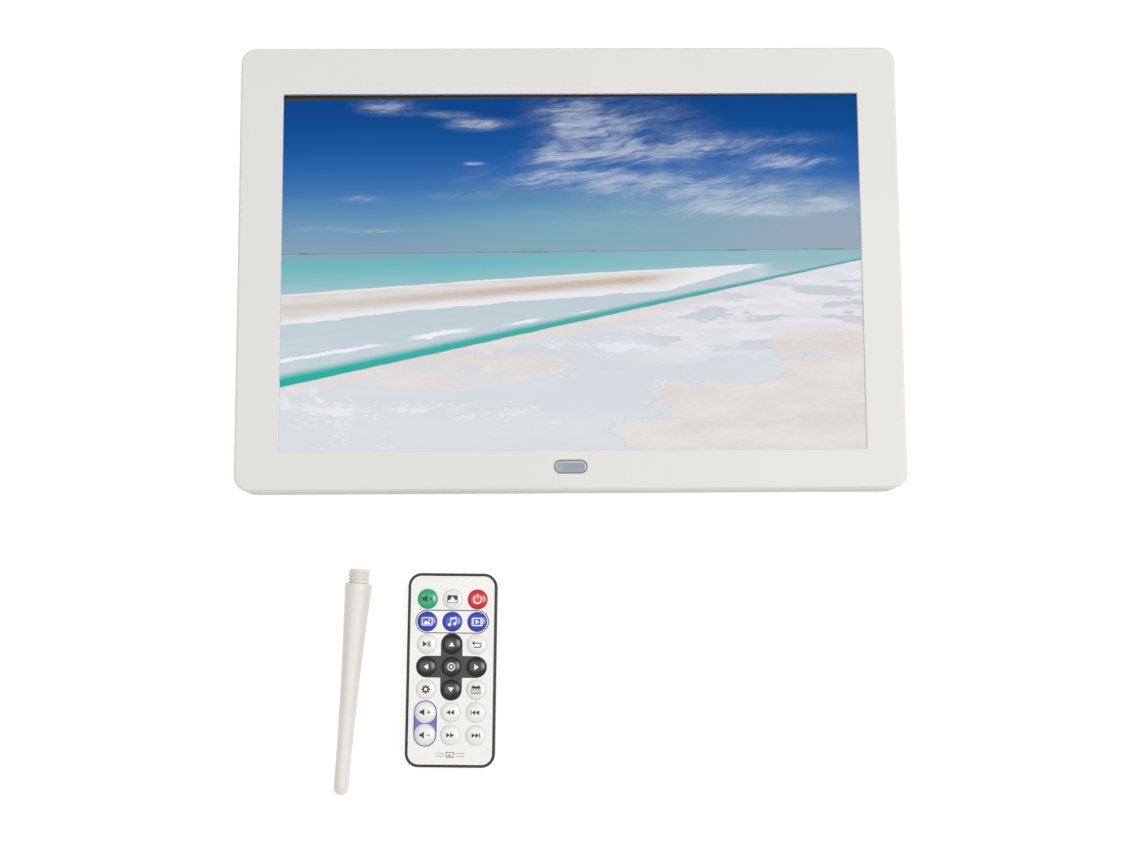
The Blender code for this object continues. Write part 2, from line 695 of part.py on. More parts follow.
def support_leg():
    """One moulded leg, its thread at +Z before it is laid down on the table."""
    segments, rows_per_turn = 20, 4
    builder = bmesh.new()
    tip_centre = LEG_BODY_LENGTH - LEG_TIP_RADIUS
    rings = [[builder.verts.new((0, 0, -LEG_BODY_LENGTH))]]
    for step in range(1, 5):
        angle = step / 5 * pi / 2
        height = -tip_centre - LEG_TIP_RADIUS * cos(angle)
        rings.append(ring(builder, LEG_TIP_RADIUS * sin(angle), height, segments))
    for distance in (tip_centre, 78 * MM, 66 * MM, 54 * MM, 42 * MM, 30 * MM, 20 * MM, 11 * MM,
                     5 * MM, 1.6 * MM):
        rings.append(ring(builder, leg_radius(distance), -distance, segments))
    rings.append(ring(builder, LEG_COLLAR_RADIUS, -0.5 * MM, segments))
    rings.append(ring(builder, LEG_COLLAR_RADIUS - 0.5 * MM, 0, segments))
    rings.append(ring(builder, LEG_THREAD_RADIUS - 0.9 * MM, 0, segments))
    for row in range(1, LEG_THREAD_TURNS * rows_per_turn + 1):
        rings.append(thread_ring(builder, row, rows_per_turn, segments))
    top = LEG_THREAD_PITCH * LEG_THREAD_TURNS + 0.4 * MM
    rings.append(ring(builder, LEG_THREAD_RADIUS - 1.1 * MM, top, segments))
    skin_rings(builder, rings)
    leg = new_object("support_leg", builder, "leg_white")
    tilt = asin((LEG_COLLAR_RADIUS - LEG_TIP_RADIUS) / tip_centre)
    turn = Matrix.Rotation(-LEG_LEAN, 4, "Z") @ Matrix.Rotation(-pi / 2 + tilt, 4, "X")
    leg.rotation_euler = turn.to_euler()
    lowest = min((turn @ vert.co).z for vert in leg.data.vertices)
    leg.location = (LEG_SHOULDER.x, LEG_SHOULDER.y, -lowest)


def ring(builder, radius, height, segments):
    circle = circle_outline(radius, segments=segments)
    return [builder.verts.new((x, y, height)) for x, y in circle]


def thread_ring(builder, row, rows_per_turn, segments):
    """One level of the screw thread: a V groove that winds with the height."""
    height = row / rows_per_turn * LEG_THREAD_PITCH
    corners = []
    for step in range(segments):
        angle = 2 * pi * step / segments
        phase = (row / rows_per_turn - step / segments) % 1.0
        depth = 0.9 * MM * abs(2 * phase - 1)
        radius = LEG_THREAD_RADIUS - depth
        corners.append(builder.verts.new((radius * cos(angle), radius * sin(angle), height)))
    return corners


# ---------------------------------------------------------------- the remote control
TRAY_BOTTOM = REMOTE_FLOOR + CLEARANCE
TRAY_TOP = 4.2 * MM
REMOTE_BOARD_BOTTOM = 4.6 * MM
REMOTE_BOARD_TOP = 5.2 * MM
FACE_BOTTOM = 6.05 * MM
FACE_TOP = 6.85 * MM
KEY_BOTTOM = 5.95 * MM + CLEARANCE / 3
KEY_DOME = 1.1 * MM
TRAY_END_Y = -REMOTE_LENGTH / 2


def remote_outline(inset):
    return rounded_outline(
        REMOTE_WIDTH - 2 * inset, REMOTE_LENGTH - 2 * inset, REMOTE_CORNER - inset
    )


def remote_case(carrier):
    """A black tray with a raised rim, a ledge for the face, and slots in its two ends."""
    case = plate(
        "remote_case", remote_outline(0), 0, REMOTE_RIM_Z, "remote_black", carrier,
        rounds=[(REMOTE_RIM_Z, 0.5 * MM, 2), (0, 0.9 * MM, 2)],
    )
    cut(case, plate("case_hollow", remote_outline(REMOTE_WALL), REMOTE_FLOOR, 6.5 * MM,
                    parent=carrier))
    cut(case, plate("face_recess", remote_outline(REMOTE_RIM), FACE_BOTTOM - CLEARANCE,
                    REMOTE_RIM_Z + WALL, parent=carrier))
    slot_half = TRAY_WIDTH / 2 + CLEARANCE
    cut(case, box("tray_slot", (-slot_half, TRAY_END_Y - WALL, REMOTE_FLOOR),
                  (slot_half, TRAY_END_Y + 3 * MM, TRAY_TOP + CLEARANCE), parent=carrier))
    hole = turned("led_hole", [(0, 40 * MM), (1.8 * MM, 40 * MM), (1.8 * MM, 45 * MM),
                               (0, 45 * MM)], parent=carrier, segments=12, turn=Y_AXIS)
    hole.location = (0, 0, 3.1 * MM)
    cut(case, hole)


def key_places():
    """Each remote key's name and its place on the face."""
    places = {}
    for row, names in enumerate(KEY_ROWS):
        for column, name in enumerate(names):
            x = (column - 1) * KEY_COLUMN_PITCH
            places[name] = (x, KEY_FIRST_ROW - row * KEY_ROW_PITCH)
    return places


def remote_face(carrier):
    """The silver face plate with a hole for each key."""
    face = plate("remote_face_plate", remote_outline(REMOTE_RIM + CLEARANCE), FACE_BOTTOM,
                 FACE_TOP, "remote_silver", carrier)
    holes = [
        circle_outline(KEY_RADIUS + CLEARANCE, place, KEY_SEGMENTS)
        for place in key_places().values()
    ]
    tool = plates("face_holes", holes, FACE_BOTTOM - 1 * MM, FACE_TOP + 1 * MM)
    cut(face, tool)


KEY_FINISHES = {
    "mute": "key_green", "power": "key_red",
    "photo": "key_blue", "music": "key_blue", "video": "key_blue",
    "up": "key_black", "down": "key_black", "left": "key_black", "right": "key_black",
    "ok": "key_black",
}


def remote_keys(carrier):
    """Twenty-one low domed keys in three columns."""
    side = [(0, KEY_BOTTOM), (KEY_RADIUS - 0.1 * MM, KEY_BOTTOM)]
    crown = [
        (KEY_RADIUS * cos(angle), FACE_TOP + KEY_DOME * sin(angle))
        for angle in (0, pi / 6, pi / 3)
    ]
    profile = side + crown + [(0, FACE_TOP + KEY_DOME)]
    for name, (x, y) in key_places().items():
        material = KEY_FINISHES.get(name, "key_white")
        key = turned(f"key_{name}", profile, material, carrier, KEY_SEGMENTS)
        key.location = (x, y, 0)


def remote_inside(carrier):
    """Circuit board, infrared emitter and the two battery contacts."""
    width = REMOTE_WIDTH - 2 * REMOTE_WALL - 1 * MM
    outline = rounded_outline(width, 77 * MM, 4 * MM, (0, -2 * MM), 2)
    plate("remote_circuit_board", outline, REMOTE_BOARD_BOTTOM, REMOTE_BOARD_TOP,
          "circuit_green", carrier)
    led = turned(
        "remote_ir_led",
        [(0, 37 * MM), (1.7 * MM, 37 * MM), (1.7 * MM, 37.8 * MM), (1.4 * MM, 37.8 * MM),
         (1.4 * MM, 41.4 * MM), (1.1 * MM, 42.3 * MM), (0, 42.8 * MM)],
        "led_clear", carrier, 14, Y_AXIS,
    )
    led.location = (0, 0, 3.1 * MM)
    for name, x in (("positive", -6 * MM), ("negative", 6 * MM)):
        contact_spring(f"battery_contact_{name}", x, carrier)


def contact_spring(name, x, carrier):
    """A folded leaf that presses on the battery tray's inner end."""
    leaf = 0.35 * MM
    start = TRAY_END_Y + TRAY_LENGTH + CLEARANCE
    path = ((start + 0.2 * MM, 1.5 * MM), (start + 0.2 * MM, 3.4 * MM), (start + 3 * MM, 3.9 * MM),
            (start + 6 * MM, 3.9 * MM))
    profile = list(path) + [(y + leaf, z - leaf) for y, z in reversed(path)]
    builder = bmesh.new()
    corners = [builder.verts.new((x - 2 * MM, y, z)) for y, z in profile]
    lifted = bmesh.ops.extrude_face_region(builder, geom=[builder.faces.new(corners)])
    moved = [item for item in lifted["geom"] if isinstance(item, bmesh.types.BMVert)]
    bmesh.ops.translate(builder, verts=moved, vec=(4 * MM, 0, 0))
    new_object(name, builder, "contact_gold", carrier)


def battery_drawer(carrier):
    """The sliding tray with its end cap flush with the case, and the cell in it."""
    half = TRAY_WIDTH / 2
    tray = plate(
        "battery_tray",
        [(-half, TRAY_END_Y), (half, TRAY_END_Y), (half, TRAY_END_Y + TRAY_LENGTH),
         (-half, TRAY_END_Y + TRAY_LENGTH)],
        TRAY_BOTTOM, TRAY_TOP, "remote_black", carrier,
    )
    centre = (0, TRAY_END_Y + TRAY_LENGTH - CELL_RADIUS - 1.3 * MM)
    pocket = circle_outline(CELL_RADIUS + CLEARANCE, centre, 24)
    floor = TRAY_BOTTOM + 0.4 * MM
    cut(tray, plate("cell_pocket", pocket, floor, TRAY_TOP + WALL, parent=carrier))
    window = circle_outline(CELL_RADIUS - 2 * MM, centre, 24)
    cut(tray, plate("cell_window", window, 0, TRAY_TOP, parent=carrier))
    cell = turned(
        "coin_cell",
        [(0, 0), (CELL_RADIUS - 0.3 * MM, 0), (CELL_RADIUS, 0.3 * MM),
         (CELL_RADIUS, CELL_HEIGHT - 0.5 * MM), (CELL_RADIUS - 1 * MM, CELL_HEIGHT), (0, CELL_HEIGHT)],
        "cell_steel", carrier, 24,
    )
    cell.location = (*centre, floor + CLEARANCE)


def remote_control():
    carrier = at_angle(REMOTE_PLACE, REMOTE_TURN)
    remote_case(carrier)
    remote_face(carrier)
    remote_keys(carrier)
    remote_inside(carrier)
    battery_drawer(carrier)


def main():
    clear_scene()
    front_bezel()
    rear_cover()
    leg_sockets()
    rear_keys()
    speakers()
    ports()
    display()
    panel_brackets()
    electronics()
    housing_screws()
    support_leg()
    remote_control()
    bpy.context.view_layer.update()


main()
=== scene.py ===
"""The finished look of a digital photo frame, its screw-in leg and its card remote.

Every size is in metres. The three pieces lie on one flat surface: the frame on its back with its
picture facing +Z, its top edge towards +Y. Each sub-assembly is a class that models its own
pieces and dresses them, and each finish is a small frozen dataclass.
"""

import logging
from dataclasses import dataclass, field
from enum import Enum
from math import asin, atan2, cos, hypot, pi, radians, sin, sqrt
from typing import Any, Callable, Iterable, Mapping, Sequence

import bmesh
import bpy
from mathutils import Matrix, Vector


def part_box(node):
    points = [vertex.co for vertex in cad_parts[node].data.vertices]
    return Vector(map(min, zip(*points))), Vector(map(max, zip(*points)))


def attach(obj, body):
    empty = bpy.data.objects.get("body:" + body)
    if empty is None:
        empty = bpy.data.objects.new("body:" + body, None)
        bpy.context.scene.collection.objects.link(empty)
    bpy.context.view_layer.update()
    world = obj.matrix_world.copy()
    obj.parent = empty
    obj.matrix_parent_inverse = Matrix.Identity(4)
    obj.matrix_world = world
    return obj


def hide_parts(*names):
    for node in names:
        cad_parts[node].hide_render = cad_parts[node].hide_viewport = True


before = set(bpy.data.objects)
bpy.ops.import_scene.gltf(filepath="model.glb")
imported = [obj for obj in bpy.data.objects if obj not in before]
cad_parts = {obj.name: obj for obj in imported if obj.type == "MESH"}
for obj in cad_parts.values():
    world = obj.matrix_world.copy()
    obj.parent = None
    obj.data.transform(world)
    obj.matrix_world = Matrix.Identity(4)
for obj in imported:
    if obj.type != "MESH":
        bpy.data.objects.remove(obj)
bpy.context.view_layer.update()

MM = 0.001
Colour = tuple[float, float, float, float]
Outline = list[tuple[float, float]]
log = logging.getLogger("photo_frame")


def paint_colour(red: int, green: int, blue: int) -> Colour:
    """Turn a colour as it is seen on a display into the linear values that shaders take.

    Args:
        red: Red from 0 to 255.
        green: Green from 0 to 255.
        blue: Blue from 0 to 255.

    Returns:
        The linear colour with full alpha.
    """
    def linear(part: int) -> float:
        """Undo the display curve of one channel."""
        share = part / 255
        return share / 12.92 if share <= 0.04045 else ((share + 0.055) / 1.055) ** 2.4

    return (linear(red), linear(green), linear(blue), 1.0)


# ------------------------------------------------------------------ shader building
class Value:
    """A shader value that takes Python's arithmetic and adds the Math nodes for it."""

    def __init__(self, paint: "Paint", socket: bpy.types.NodeSocket) -> None:
        """Wrap one output socket of a material."""
        self.paint = paint
        self.socket = socket

    def _math(self, operation: str, other: Any = None, swapped: bool = False) -> "Value":
        """Add one Math node that works on this value and, if given, another."""
        pair = (other, self) if swapped else (self, other)
        inputs = {place: item for place, item in enumerate(pair) if item is not None}
        return self.paint.value("ShaderNodeMath", {"operation": operation}, inputs)

    def __add__(self, other: Any) -> "Value":
        """Sum."""
        return self._math("ADD", other)

    __radd__ = __add__

    def __sub__(self, other: Any) -> "Value":
        """Difference."""
        return self._math("SUBTRACT", other)

    def __rsub__(self, other: Any) -> "Value":
        """Difference with the value on the right."""
        return self._math("SUBTRACT", other, swapped=True)

    def __mul__(self, other: Any) -> "Value":
        """Product."""
        return self._math("MULTIPLY", other)

    __rmul__ = __mul__

    def __truediv__(self, other: Any) -> "Value":
        """Quotient."""
        return self._math("DIVIDE", other)

    def __rtruediv__(self, other: Any) -> "Value":
        """Quotient with the value below the line."""
        return self._math("DIVIDE", other, swapped=True)

    def __pow__(self, other: Any) -> "Value":
        """Power."""
        return self._math("POWER", other)

    def root(self) -> "Value":
        """Square root."""
        return self._math("SQRT")

    def size(self) -> "Value":
        """Value without its sign."""
        return self._math("ABSOLUTE")

    def least(self, other: Any) -> "Value":
        """The smaller of the two."""
        return self._math("MINIMUM", other)

    def most(self, other: Any) -> "Value":
        """The larger of the two."""
        return self._math("MAXIMUM", other)

    def wrap(self, period: float) -> "Value":
        """Remainder within a period, counted from minus half of it to half of it."""
        return self.paint.value(
            "ShaderNodeMath", {"operation": "WRAP"}, {0: self, 1: period / 2, 2: -period / 2}
        )

    def ease(self, start: float, end: float) -> "Value":
        """Rise smoothly from 0 at start to 1 at end, or fall if end is the lower."""
        low, high = min(start, end), max(start, end)
        inputs = {"Value": self, "From Min": low, "From Max": high}
        risen = self.paint.value("ShaderNodeMapRange", {"interpolation_type": "SMOOTHSTEP"}, inputs)
        return risen if start <= end else 1 - risen


class Paint:
    """One material and the nodes that feed its Principled shader."""

    def __init__(self, name: str) -> None:
        """Start a material of that name."""
        self.material = bpy.data.materials.new(name)
        self.material.use_nodes = True
        self.tree = self.material.node_tree
        self.shader = self.tree.nodes["Principled BSDF"]

    def node(
        self,
        kind: str,
        settings: Mapping[str, Any] | None = None,
        inputs: Mapping[Any, Any] | None = None,
    ) -> bpy.types.Node:
        """Add a node, set it up and feed its sockets.

        Args:
            kind: The node's type.
            settings: Its settings; "stops" gives a ramp's positions and colours.
            inputs: A value or a link for each socket, by name or by place.

        Returns:
            The new node.
        """
        made = self.tree.nodes.new(kind)
        for key, setting in (settings or {}).items():
            if key == "stops":
                self._ramp(made.color_ramp, setting)
            else:
                setattr(made, key, setting)
        for key, given in (inputs or {}).items():
            self.feed(made.inputs[key], given)
        return made

    @staticmethod
    def _ramp(ramp: bpy.types.ColorRamp, stops: Sequence[tuple[float, Colour]]) -> None:
        """Give a ramp its stops."""
        while len(ramp.elements) < len(stops):
            ramp.elements.new(0.5)
        for element, (place, colour) in zip(ramp.elements, stops):
            element.position = place
            element.color = colour

    def feed(self, socket: bpy.types.NodeSocket, given: Any) -> None:
        """Link a socket to a value or another socket, or set it to a constant."""
        source = given.socket if isinstance(given, Value) else given
        if isinstance(source, bpy.types.NodeSocket):
            self.tree.links.new(source, socket)
        else:
            socket.default_value = source

    def value(
        self,
        kind: str,
        settings: Mapping[str, Any] | None = None,
        inputs: Mapping[Any, Any] | None = None,
        output: Any = 0,
    ) -> Value:
        """Add a node and return one of its outputs as a value."""
        return Value(self, self.node(kind, settings, inputs).outputs[output])

    def place(self) -> tuple[Value, Value, Value]:
        """The place on the piece in the object's own coordinates, as x, y and z."""
        coordinates = self.node("ShaderNodeTexCoord")
        parts = self.node("ShaderNodeSeparateXYZ", None, {0: coordinates.outputs["Object"]})
        return tuple(Value(self, parts.outputs[axis]) for axis in range(3))

    def vector(self, x: Any, y: Any, z: Any) -> bpy.types.NodeSocket:
        """Join three values into one vector."""
        return self.node("ShaderNodeCombineXYZ", None, {0: x, 1: y, 2: z}).outputs[0]

    def noise(
        self, scale: float, detail: float = 2.0, roughness: float = 0.5,
        where: bpy.types.NodeSocket | None = None,
    ) -> Value:
        """Soft random values between 0 and 1.

        Args:
            scale: How many features fit in one unit of the coordinates.
            detail: How many finer layers are added.
            roughness: How strong the finer layers are.
            where: The coordinates to read, or None for the piece's own.

        Returns:
            The noise.
        """
        source = where or self.node("ShaderNodeTexCoord").outputs["Object"]
        inputs = {"Vector": source, "Scale": scale, "Detail": detail, "Roughness": roughness}
        return self.value("ShaderNodeTexNoise", None, inputs)

    def patches(self, x: Any, y: Any, cut: float, detail: float, roughness: float = 0.5) -> Value:
        """Noise over two coordinates that are already scaled; each cut gives another pattern."""
        return self.noise(1.0, detail, roughness, self.vector(x, y, cut))

    def mix(self, share: Any, low: Any, high: Any) -> bpy.types.NodeSocket:
        """Blend two colours by a share from 0 to 1."""
        node = self.node("ShaderNodeMix", {"data_type": "RGBA"}, {0: share, 6: low, 7: high})
        return node.outputs[2]

    def bump(self, height: Value, relief: float) -> None:
        """Give the surface a fine relief, its full height in metres."""
        node = self.node("ShaderNodeBump", None, {"Height": height, "Distance": relief})
        self.feed(self.shader.inputs["Normal"], node.outputs[0])

    def set(self, **sockets: Any) -> None:
        """Set or link the shader's sockets, by names with underscores for spaces."""
        for name, given in sockets.items():
            self.feed(self.shader.inputs[name.replace("_", " ")], given)


def shade(colour: Colour, factor: float) -> Colour:
    """Make a colour lighter or darker, keeping its alpha."""
    return (*(min(part * factor, 1.0) for part in colour[:3]), colour[3])


# ------------------------------------------------------------------ finishes
@dataclass(frozen=True)
class Moulding:
    """Injection-moulded plastic with a fine spark-eroded grain and slightly uneven gloss."""

    name: str
    colour: Colour
    roughness: float = 0.45
    grain: float = 0.45 * MM
    relief: float = 0.004 * MM
    mottle: float = 0.015
    coat: float = 0.0

    def material(self) -> bpy.types.Material:
        """Build the material."""
        paint = Paint(self.name)
        cloudy = paint.noise(14.0, 3.0, 0.55)
        handled = paint.noise(70.0, 5.0, 0.6)
        grain = paint.noise(1 / self.grain, 3.0, 0.6)
        tone = cloudy * 0.65 + handled * 0.25 + grain * 0.1
        colour = paint.mix(
            tone.ease(0.25, 0.75),
            shade(self.colour, 1 - self.mottle),
            shade(self.colour, 1 + self.mottle),
        )
        rough = self.roughness + (handled - 0.5) * 0.14 + (grain - 0.5) * 0.08
        paint.set(Base_Color=colour, Roughness=rough, Coat_Weight=self.coat, Coat_Roughness=0.12)
        paint.bump(grain, self.relief)
        return paint.material


@dataclass(frozen=True)
class DomeGloss:
    """Glossy printed film over a dome: a clear coat, a painted shade that darkens the rim and a
    faint orange peel.
    """

    name: str
    colour: Colour
    roughness: float = 0.28
    painted_rim_shade: float = 0.78
    coat_roughness: float = 0.18

    def material(self) -> bpy.types.Material:
        """Build the material; the painted rim shade follows the piece's own "rim" attribute."""
        paint = Paint(self.name)
        rim = paint.value("ShaderNodeAttribute", {"attribute_name": "rim"}, None, "Fac")
        peel = paint.noise(900.0, 2.0, 0.5)
        broad = paint.noise(160.0, 3.0, 0.6)
        # painted shade: the outer fifth of each dome is darkened as if it were turned away from the
        # light
        edge = rim.ease(0.80, 1.0)
        body = paint.mix(broad, shade(self.colour, 0.96), shade(self.colour, 1.04))
        colour = paint.mix(edge, body, shade(self.colour, self.painted_rim_shade))
        rough = self.roughness + (broad - 0.5) * 0.10
        paint.set(Base_Color=colour, Roughness=rough, Coat_Weight=0.6,
                  Coat_Roughness=self.coat_roughness)
        paint.bump(peel, 0.004 * MM)
        return paint.material


@dataclass(frozen=True)
class PrintedInk:
    """Screen-printed ink: even, a little matt, with a slightly ragged density."""

    name: str
    colour: Colour
    roughness: float = 0.42

    def material(self) -> bpy.types.Material:
        """Build the material."""
        paint = Paint(self.name)
        density = paint.noise(1400.0, 4.0, 0.6)
        pooled = paint.noise(220.0, 3.0, 0.5)
        tone = density * 0.5 + pooled * 0.5
        colour = paint.mix(tone.ease(0.3, 0.7), shade(self.colour, 0.93), shade(self.colour, 1.06))
        paint.set(Base_Color=colour, Roughness=self.roughness + (pooled - 0.5) * 0.12)
        paint.bump(density, 0.002 * MM)
        return paint.material


@dataclass(frozen=True)
class SilverFilm:
    """The remote's face: pale printed film with a fine pearl fleck."""

    name: str
    colour: Colour

    def material(self) -> bpy.types.Material:
        """Build the material."""
        paint = Paint(self.name)
        fleck = paint.noise(3200.0, 2.0, 0.7)
        broad = paint.noise(45.0, 3.0, 0.5)
        tone = fleck * 0.45 + broad * 0.55
        colour = paint.mix(tone.ease(0.3, 0.7), shade(self.colour, 0.965), shade(self.colour, 1.02))
        paint.set(Base_Color=colour, Roughness=0.40 + (fleck - 0.5) * 0.16, Metallic=0.0)
        paint.bump(fleck, 0.0025 * MM)
        return paint.material


@dataclass(frozen=True)
class PlatedSheet:
    """Plated or brushed metal with fine lines along one axis and dull patches."""

    name: str
    colour: Colour
    roughness: float = 0.32
    along_x: bool = True

    def material(self) -> bpy.types.Material:
        """Build the material."""
        paint = Paint(self.name)
        x, y, z = paint.place()
        stretched = paint.vector(x * 60, y * 4000, z * 4000) if self.along_x else paint.vector(
            x * 4000, y * 60, z * 4000
        )
        lines = paint.noise(1.0, 3.0, 0.6, stretched)
        dull = paint.noise(90.0, 4.0, 0.6)
        colour = paint.mix(lines * 0.5 + dull * 0.5, shade(self.colour, 0.86), self.colour)
        rough = self.roughness + (lines - 0.5) * 0.18 + (dull - 0.5) * 0.16
        paint.set(Base_Color=colour, Roughness=rough, Metallic=1.0)
        paint.bump(lines, 0.002 * MM)
        return paint.material


@dataclass(frozen=True)
class SolderMask:
    """Circuit board: solder mask over copper tracks, with round plated holes."""

    name: str
    mask: Colour = paint_colour(26, 92, 58)
    copper: Colour = paint_colour(62, 138, 86)
    solder: Colour = paint_colour(196, 198, 196)
    track: float = 2.4 * MM

    def material(self) -> bpy.types.Material:
        """Build the material."""
        paint = Paint(self.name)
        x, y, _ = paint.place()
        bend = paint.noise(60.0, 0.0) * (6 * MM)
        along = ((x + bend).wrap(self.track).size() / self.track).ease(0.20, 0.14)
        across = ((y + bend).wrap(self.track).size() / self.track).ease(0.20, 0.14)
        choose = paint.noise(55.0, 1.0).ease(0.49, 0.51)
        tracks = along * choose + across * (1 - choose)
        cells = paint.node("ShaderNodeTexVoronoi", None, {"Scale": 170.0, "Randomness": 0.75})
        holes = Value(paint, cells.outputs["Distance"]).ease(0.16, 0.11)
        colour = paint.mix(holes, paint.mix(tracks, self.mask, self.copper), self.solder)
        paint.set(Base_Color=colour, Roughness=0.36 - holes * 0.1, Metallic=holes)
        paint.bump(tracks + holes, 0.03 * MM)
        return paint.material


@dataclass(frozen=True)
class SmokedLens:
    """Smoked translucent plastic: dim in its middle, with a painted highlight ring inside its edge,
    brightest on its upper side.
    """

    name: str
    middle: Vector
    half_length: float
    half_height: float
    middle_tone: Colour = paint_colour(136, 153, 163)
    end_tone: Colour = paint_colour(156, 157, 170)
    ring_highlight: Colour = paint_colour(214, 218, 224)
    edge: Colour = paint_colour(168, 170, 172)

    def material(self) -> bpy.types.Material:
        """Build the material."""
        paint = Paint(self.name)
        x, y, _ = paint.place()
        straight = self.half_length - self.half_height
        beyond = ((x - self.middle.x).size() - straight).most(0.0)
        reach = ((beyond * beyond + (y - self.middle.y) * (y - self.middle.y)).root()
                 / self.half_height)
        haze = paint.noise(240.0, 3.0, 0.5)
        ends = ((x - self.middle.x).size() / self.half_length).ease(0.30, 0.62)
        body = paint.mix((ends + (haze - 0.5) * 0.5).least(1.0).most(0.0), self.middle_tone,
                         self.end_tone)
        # painted highlight: a bright ring just inside the rim, stronger on the upper side as if lit
        # from there
        upper = (y - self.middle.y).ease(-0.5 * self.half_height, 0.2 * self.half_height)
        ring = (reach - 0.72).size().ease(0.11, 0.02) * (upper * 0.75 + 0.2)
        colour = paint.mix(reach.ease(0.78, 0.88), paint.mix(ring, body, self.ring_highlight), self.edge)
        paint.set(Base_Color=colour, Roughness=0.16 + haze * 0.08, Coat_Weight=0.4)
        return paint.material


@dataclass(frozen=True)
class Seascape:
    """A lit picture of a salt lagoon: sky with wisps of cloud, sea, a spit and pale flats.

    The picture is made from formulas. Its own coordinates are across from the left edge and
    down from the top edge, both from 0 to 1.
    """

    name: str
    width: float
    height: float
    middle: Vector
    turn: float
    drop: float
    border: Colour = paint_colour(66, 64, 56)
    horizon: float = 0.440

    CLOUDS = (
        (0.49, 0.04, 0.07, 0.09, 1.0), (0.54, 0.11, 0.06, 0.045, 1.2),
        (0.63, 0.06, 0.11, 0.06, 0.6), (0.47, 0.16, 0.06, 0.03, 0.9),
        (0.64, 0.16, 0.16, 0.030, 0.8), (0.84, 0.13, 0.14, 0.03, 0.6),
        (0.45, 0.23, 0.17, 0.045, 0.9), (0.30, 0.28, 0.07, 0.015, 0.6),
        (0.63, 0.25, 0.16, 0.04, 0.6), (0.88, 0.19, 0.08, 0.025, 1.1),
        (0.90, 0.29, 0.16, 0.06, 0.8), (0.86, 0.32, 0.13, 0.02, 1.2),
        (0.34, 0.075, 0.055, 0.020, 1.5), (0.28, 0.045, 0.06, 0.012, 0.9),
        (0.18, 0.022, 0.065, 0.024, 1.35), (0.33, 0.187, 0.02, 0.006, 1.2),
        (0.14, 0.285, 0.06, 0.012, 0.7), (0.07, 0.370, 0.05, 0.008, 1.0),
        (0.17, 0.378, 0.06, 0.007, 1.0), (0.60, 0.34, 0.26, 0.07, 0.5),
        (0.70, 0.17, 0.22, 0.09, 0.40), (0.74, 0.28, 0.18, 0.07, 0.40),
        (0.60, 0.10, 0.14, 0.10, 0.30),
    )

    def material(self) -> bpy.types.Material:
        """Build the lit material, with its dark border round the picture."""
        paint = Paint(self.name)
        x, y, _ = paint.place()
        away_x, away_y = x - self.middle.x, y - self.middle.y
        turned_x = away_x * cos(self.turn) + away_y * sin(self.turn)
        turned_y = away_y * cos(self.turn) - away_x * sin(self.turn) + self.drop
        across = turned_x / self.width + 0.5
        down = 0.5 - turned_y / self.height
        sky = self._sky(paint, across, down)
        sea = self._sea(paint, across, down, sky)
        picture = self._land(paint, across, down, sea)
        inside = (self.height / 2 - turned_y).ease(-0.05 * MM, 0.05 * MM)
        haze = paint.noise(2600.0, 2.0, 0.6)
        fringe = (turned_y - self.height / 2).ease(0.0, 0.9 * MM)
        border = paint.mix(fringe, shade(self.border, 1.5), self.border)
        paint.set(
            Base_Color=paint.mix(inside, border, (0.002, 0.002, 0.003, 1)),
            Emission_Color=paint.mix(inside, (0, 0, 0, 1), picture), Emission_Strength=1.0,
            Roughness=0.42 + (haze - 0.5) * 0.1, Specular_IOR_Level=0.02,
        )
        paint.bump(haze, 0.0015 * MM)
        return paint.material

    def _sky(self, paint: Paint, across: Value, down: Value) -> bpy.types.NodeSocket:
        """Blue at the top, hazy at the horizon, with streaked clouds in chosen places."""
        stops = (
            (0.03, paint_colour(8, 69, 139)), (0.08, paint_colour(10, 76, 146)),
            (0.14, paint_colour(20, 86, 157)), (0.20, paint_colour(40, 99, 170)),
            (0.26, paint_colour(60, 115, 174)), (0.32, paint_colour(88, 138, 182)),
            (0.37, paint_colour(113, 154, 184)), (0.43, paint_colour(130, 160, 182)),
        )
        drift = paint.patches(across * 4, down * 7, 2.0, 3.0) - 0.5
        height = down + drift * 0.03
        sky = paint.node("ShaderNodeValToRGB", {"stops": stops}, {0: height}).outputs[0]
        haze = across.ease(0.45, 0.95) * down.ease(0.22, 0.37)
        sky = paint.mix(haze * 0.8, sky, paint_colour(158, 172, 188))
        lagoon_light = across.ease(0.15, 0.5) * across.ease(0.95, 0.6) * down.ease(0.20, 0.42)
        sky = paint.mix(lagoon_light * 0.55, sky, paint_colour(128, 178, 188))
        return paint.mix(self._clouds(paint, across, down), sky, paint_colour(200, 210, 222))

    def _clouds(self, paint: Paint, across: Value, down: Value) -> Value:
        """How much cloud covers each place."""
        warp = paint.patches(across * 5, down * 8, 5.0, 4.0) - 0.5
        rising = down + across * 0.20 + warp * 0.10
        base = paint.patches(across * 12, rising * 24, 1.0, 12.0, 0.68)
        fibre = paint.patches(across * 11 + warp * 3, rising * 85, 9.0, 9.0, 0.66)
        cover: Any = 0.0
        for middle_x, middle_y, half_x, half_y, strength in self.CLOUDS:
            reach = (((across - middle_x) / half_x) ** 2 + ((down - middle_y) / half_y) ** 2).root()
            cover = reach.ease(1.7, 0.0) * strength + cover
        mass = base * 0.55 + fibre * 0.45 + (cover.least(1.3) - 1) * 0.24
        veil = cover.ease(0.1, 1.2) * base.ease(0.30, 0.75) * 0.34
        return (mass.ease(0.385, 0.73) * 0.80).most(veil)

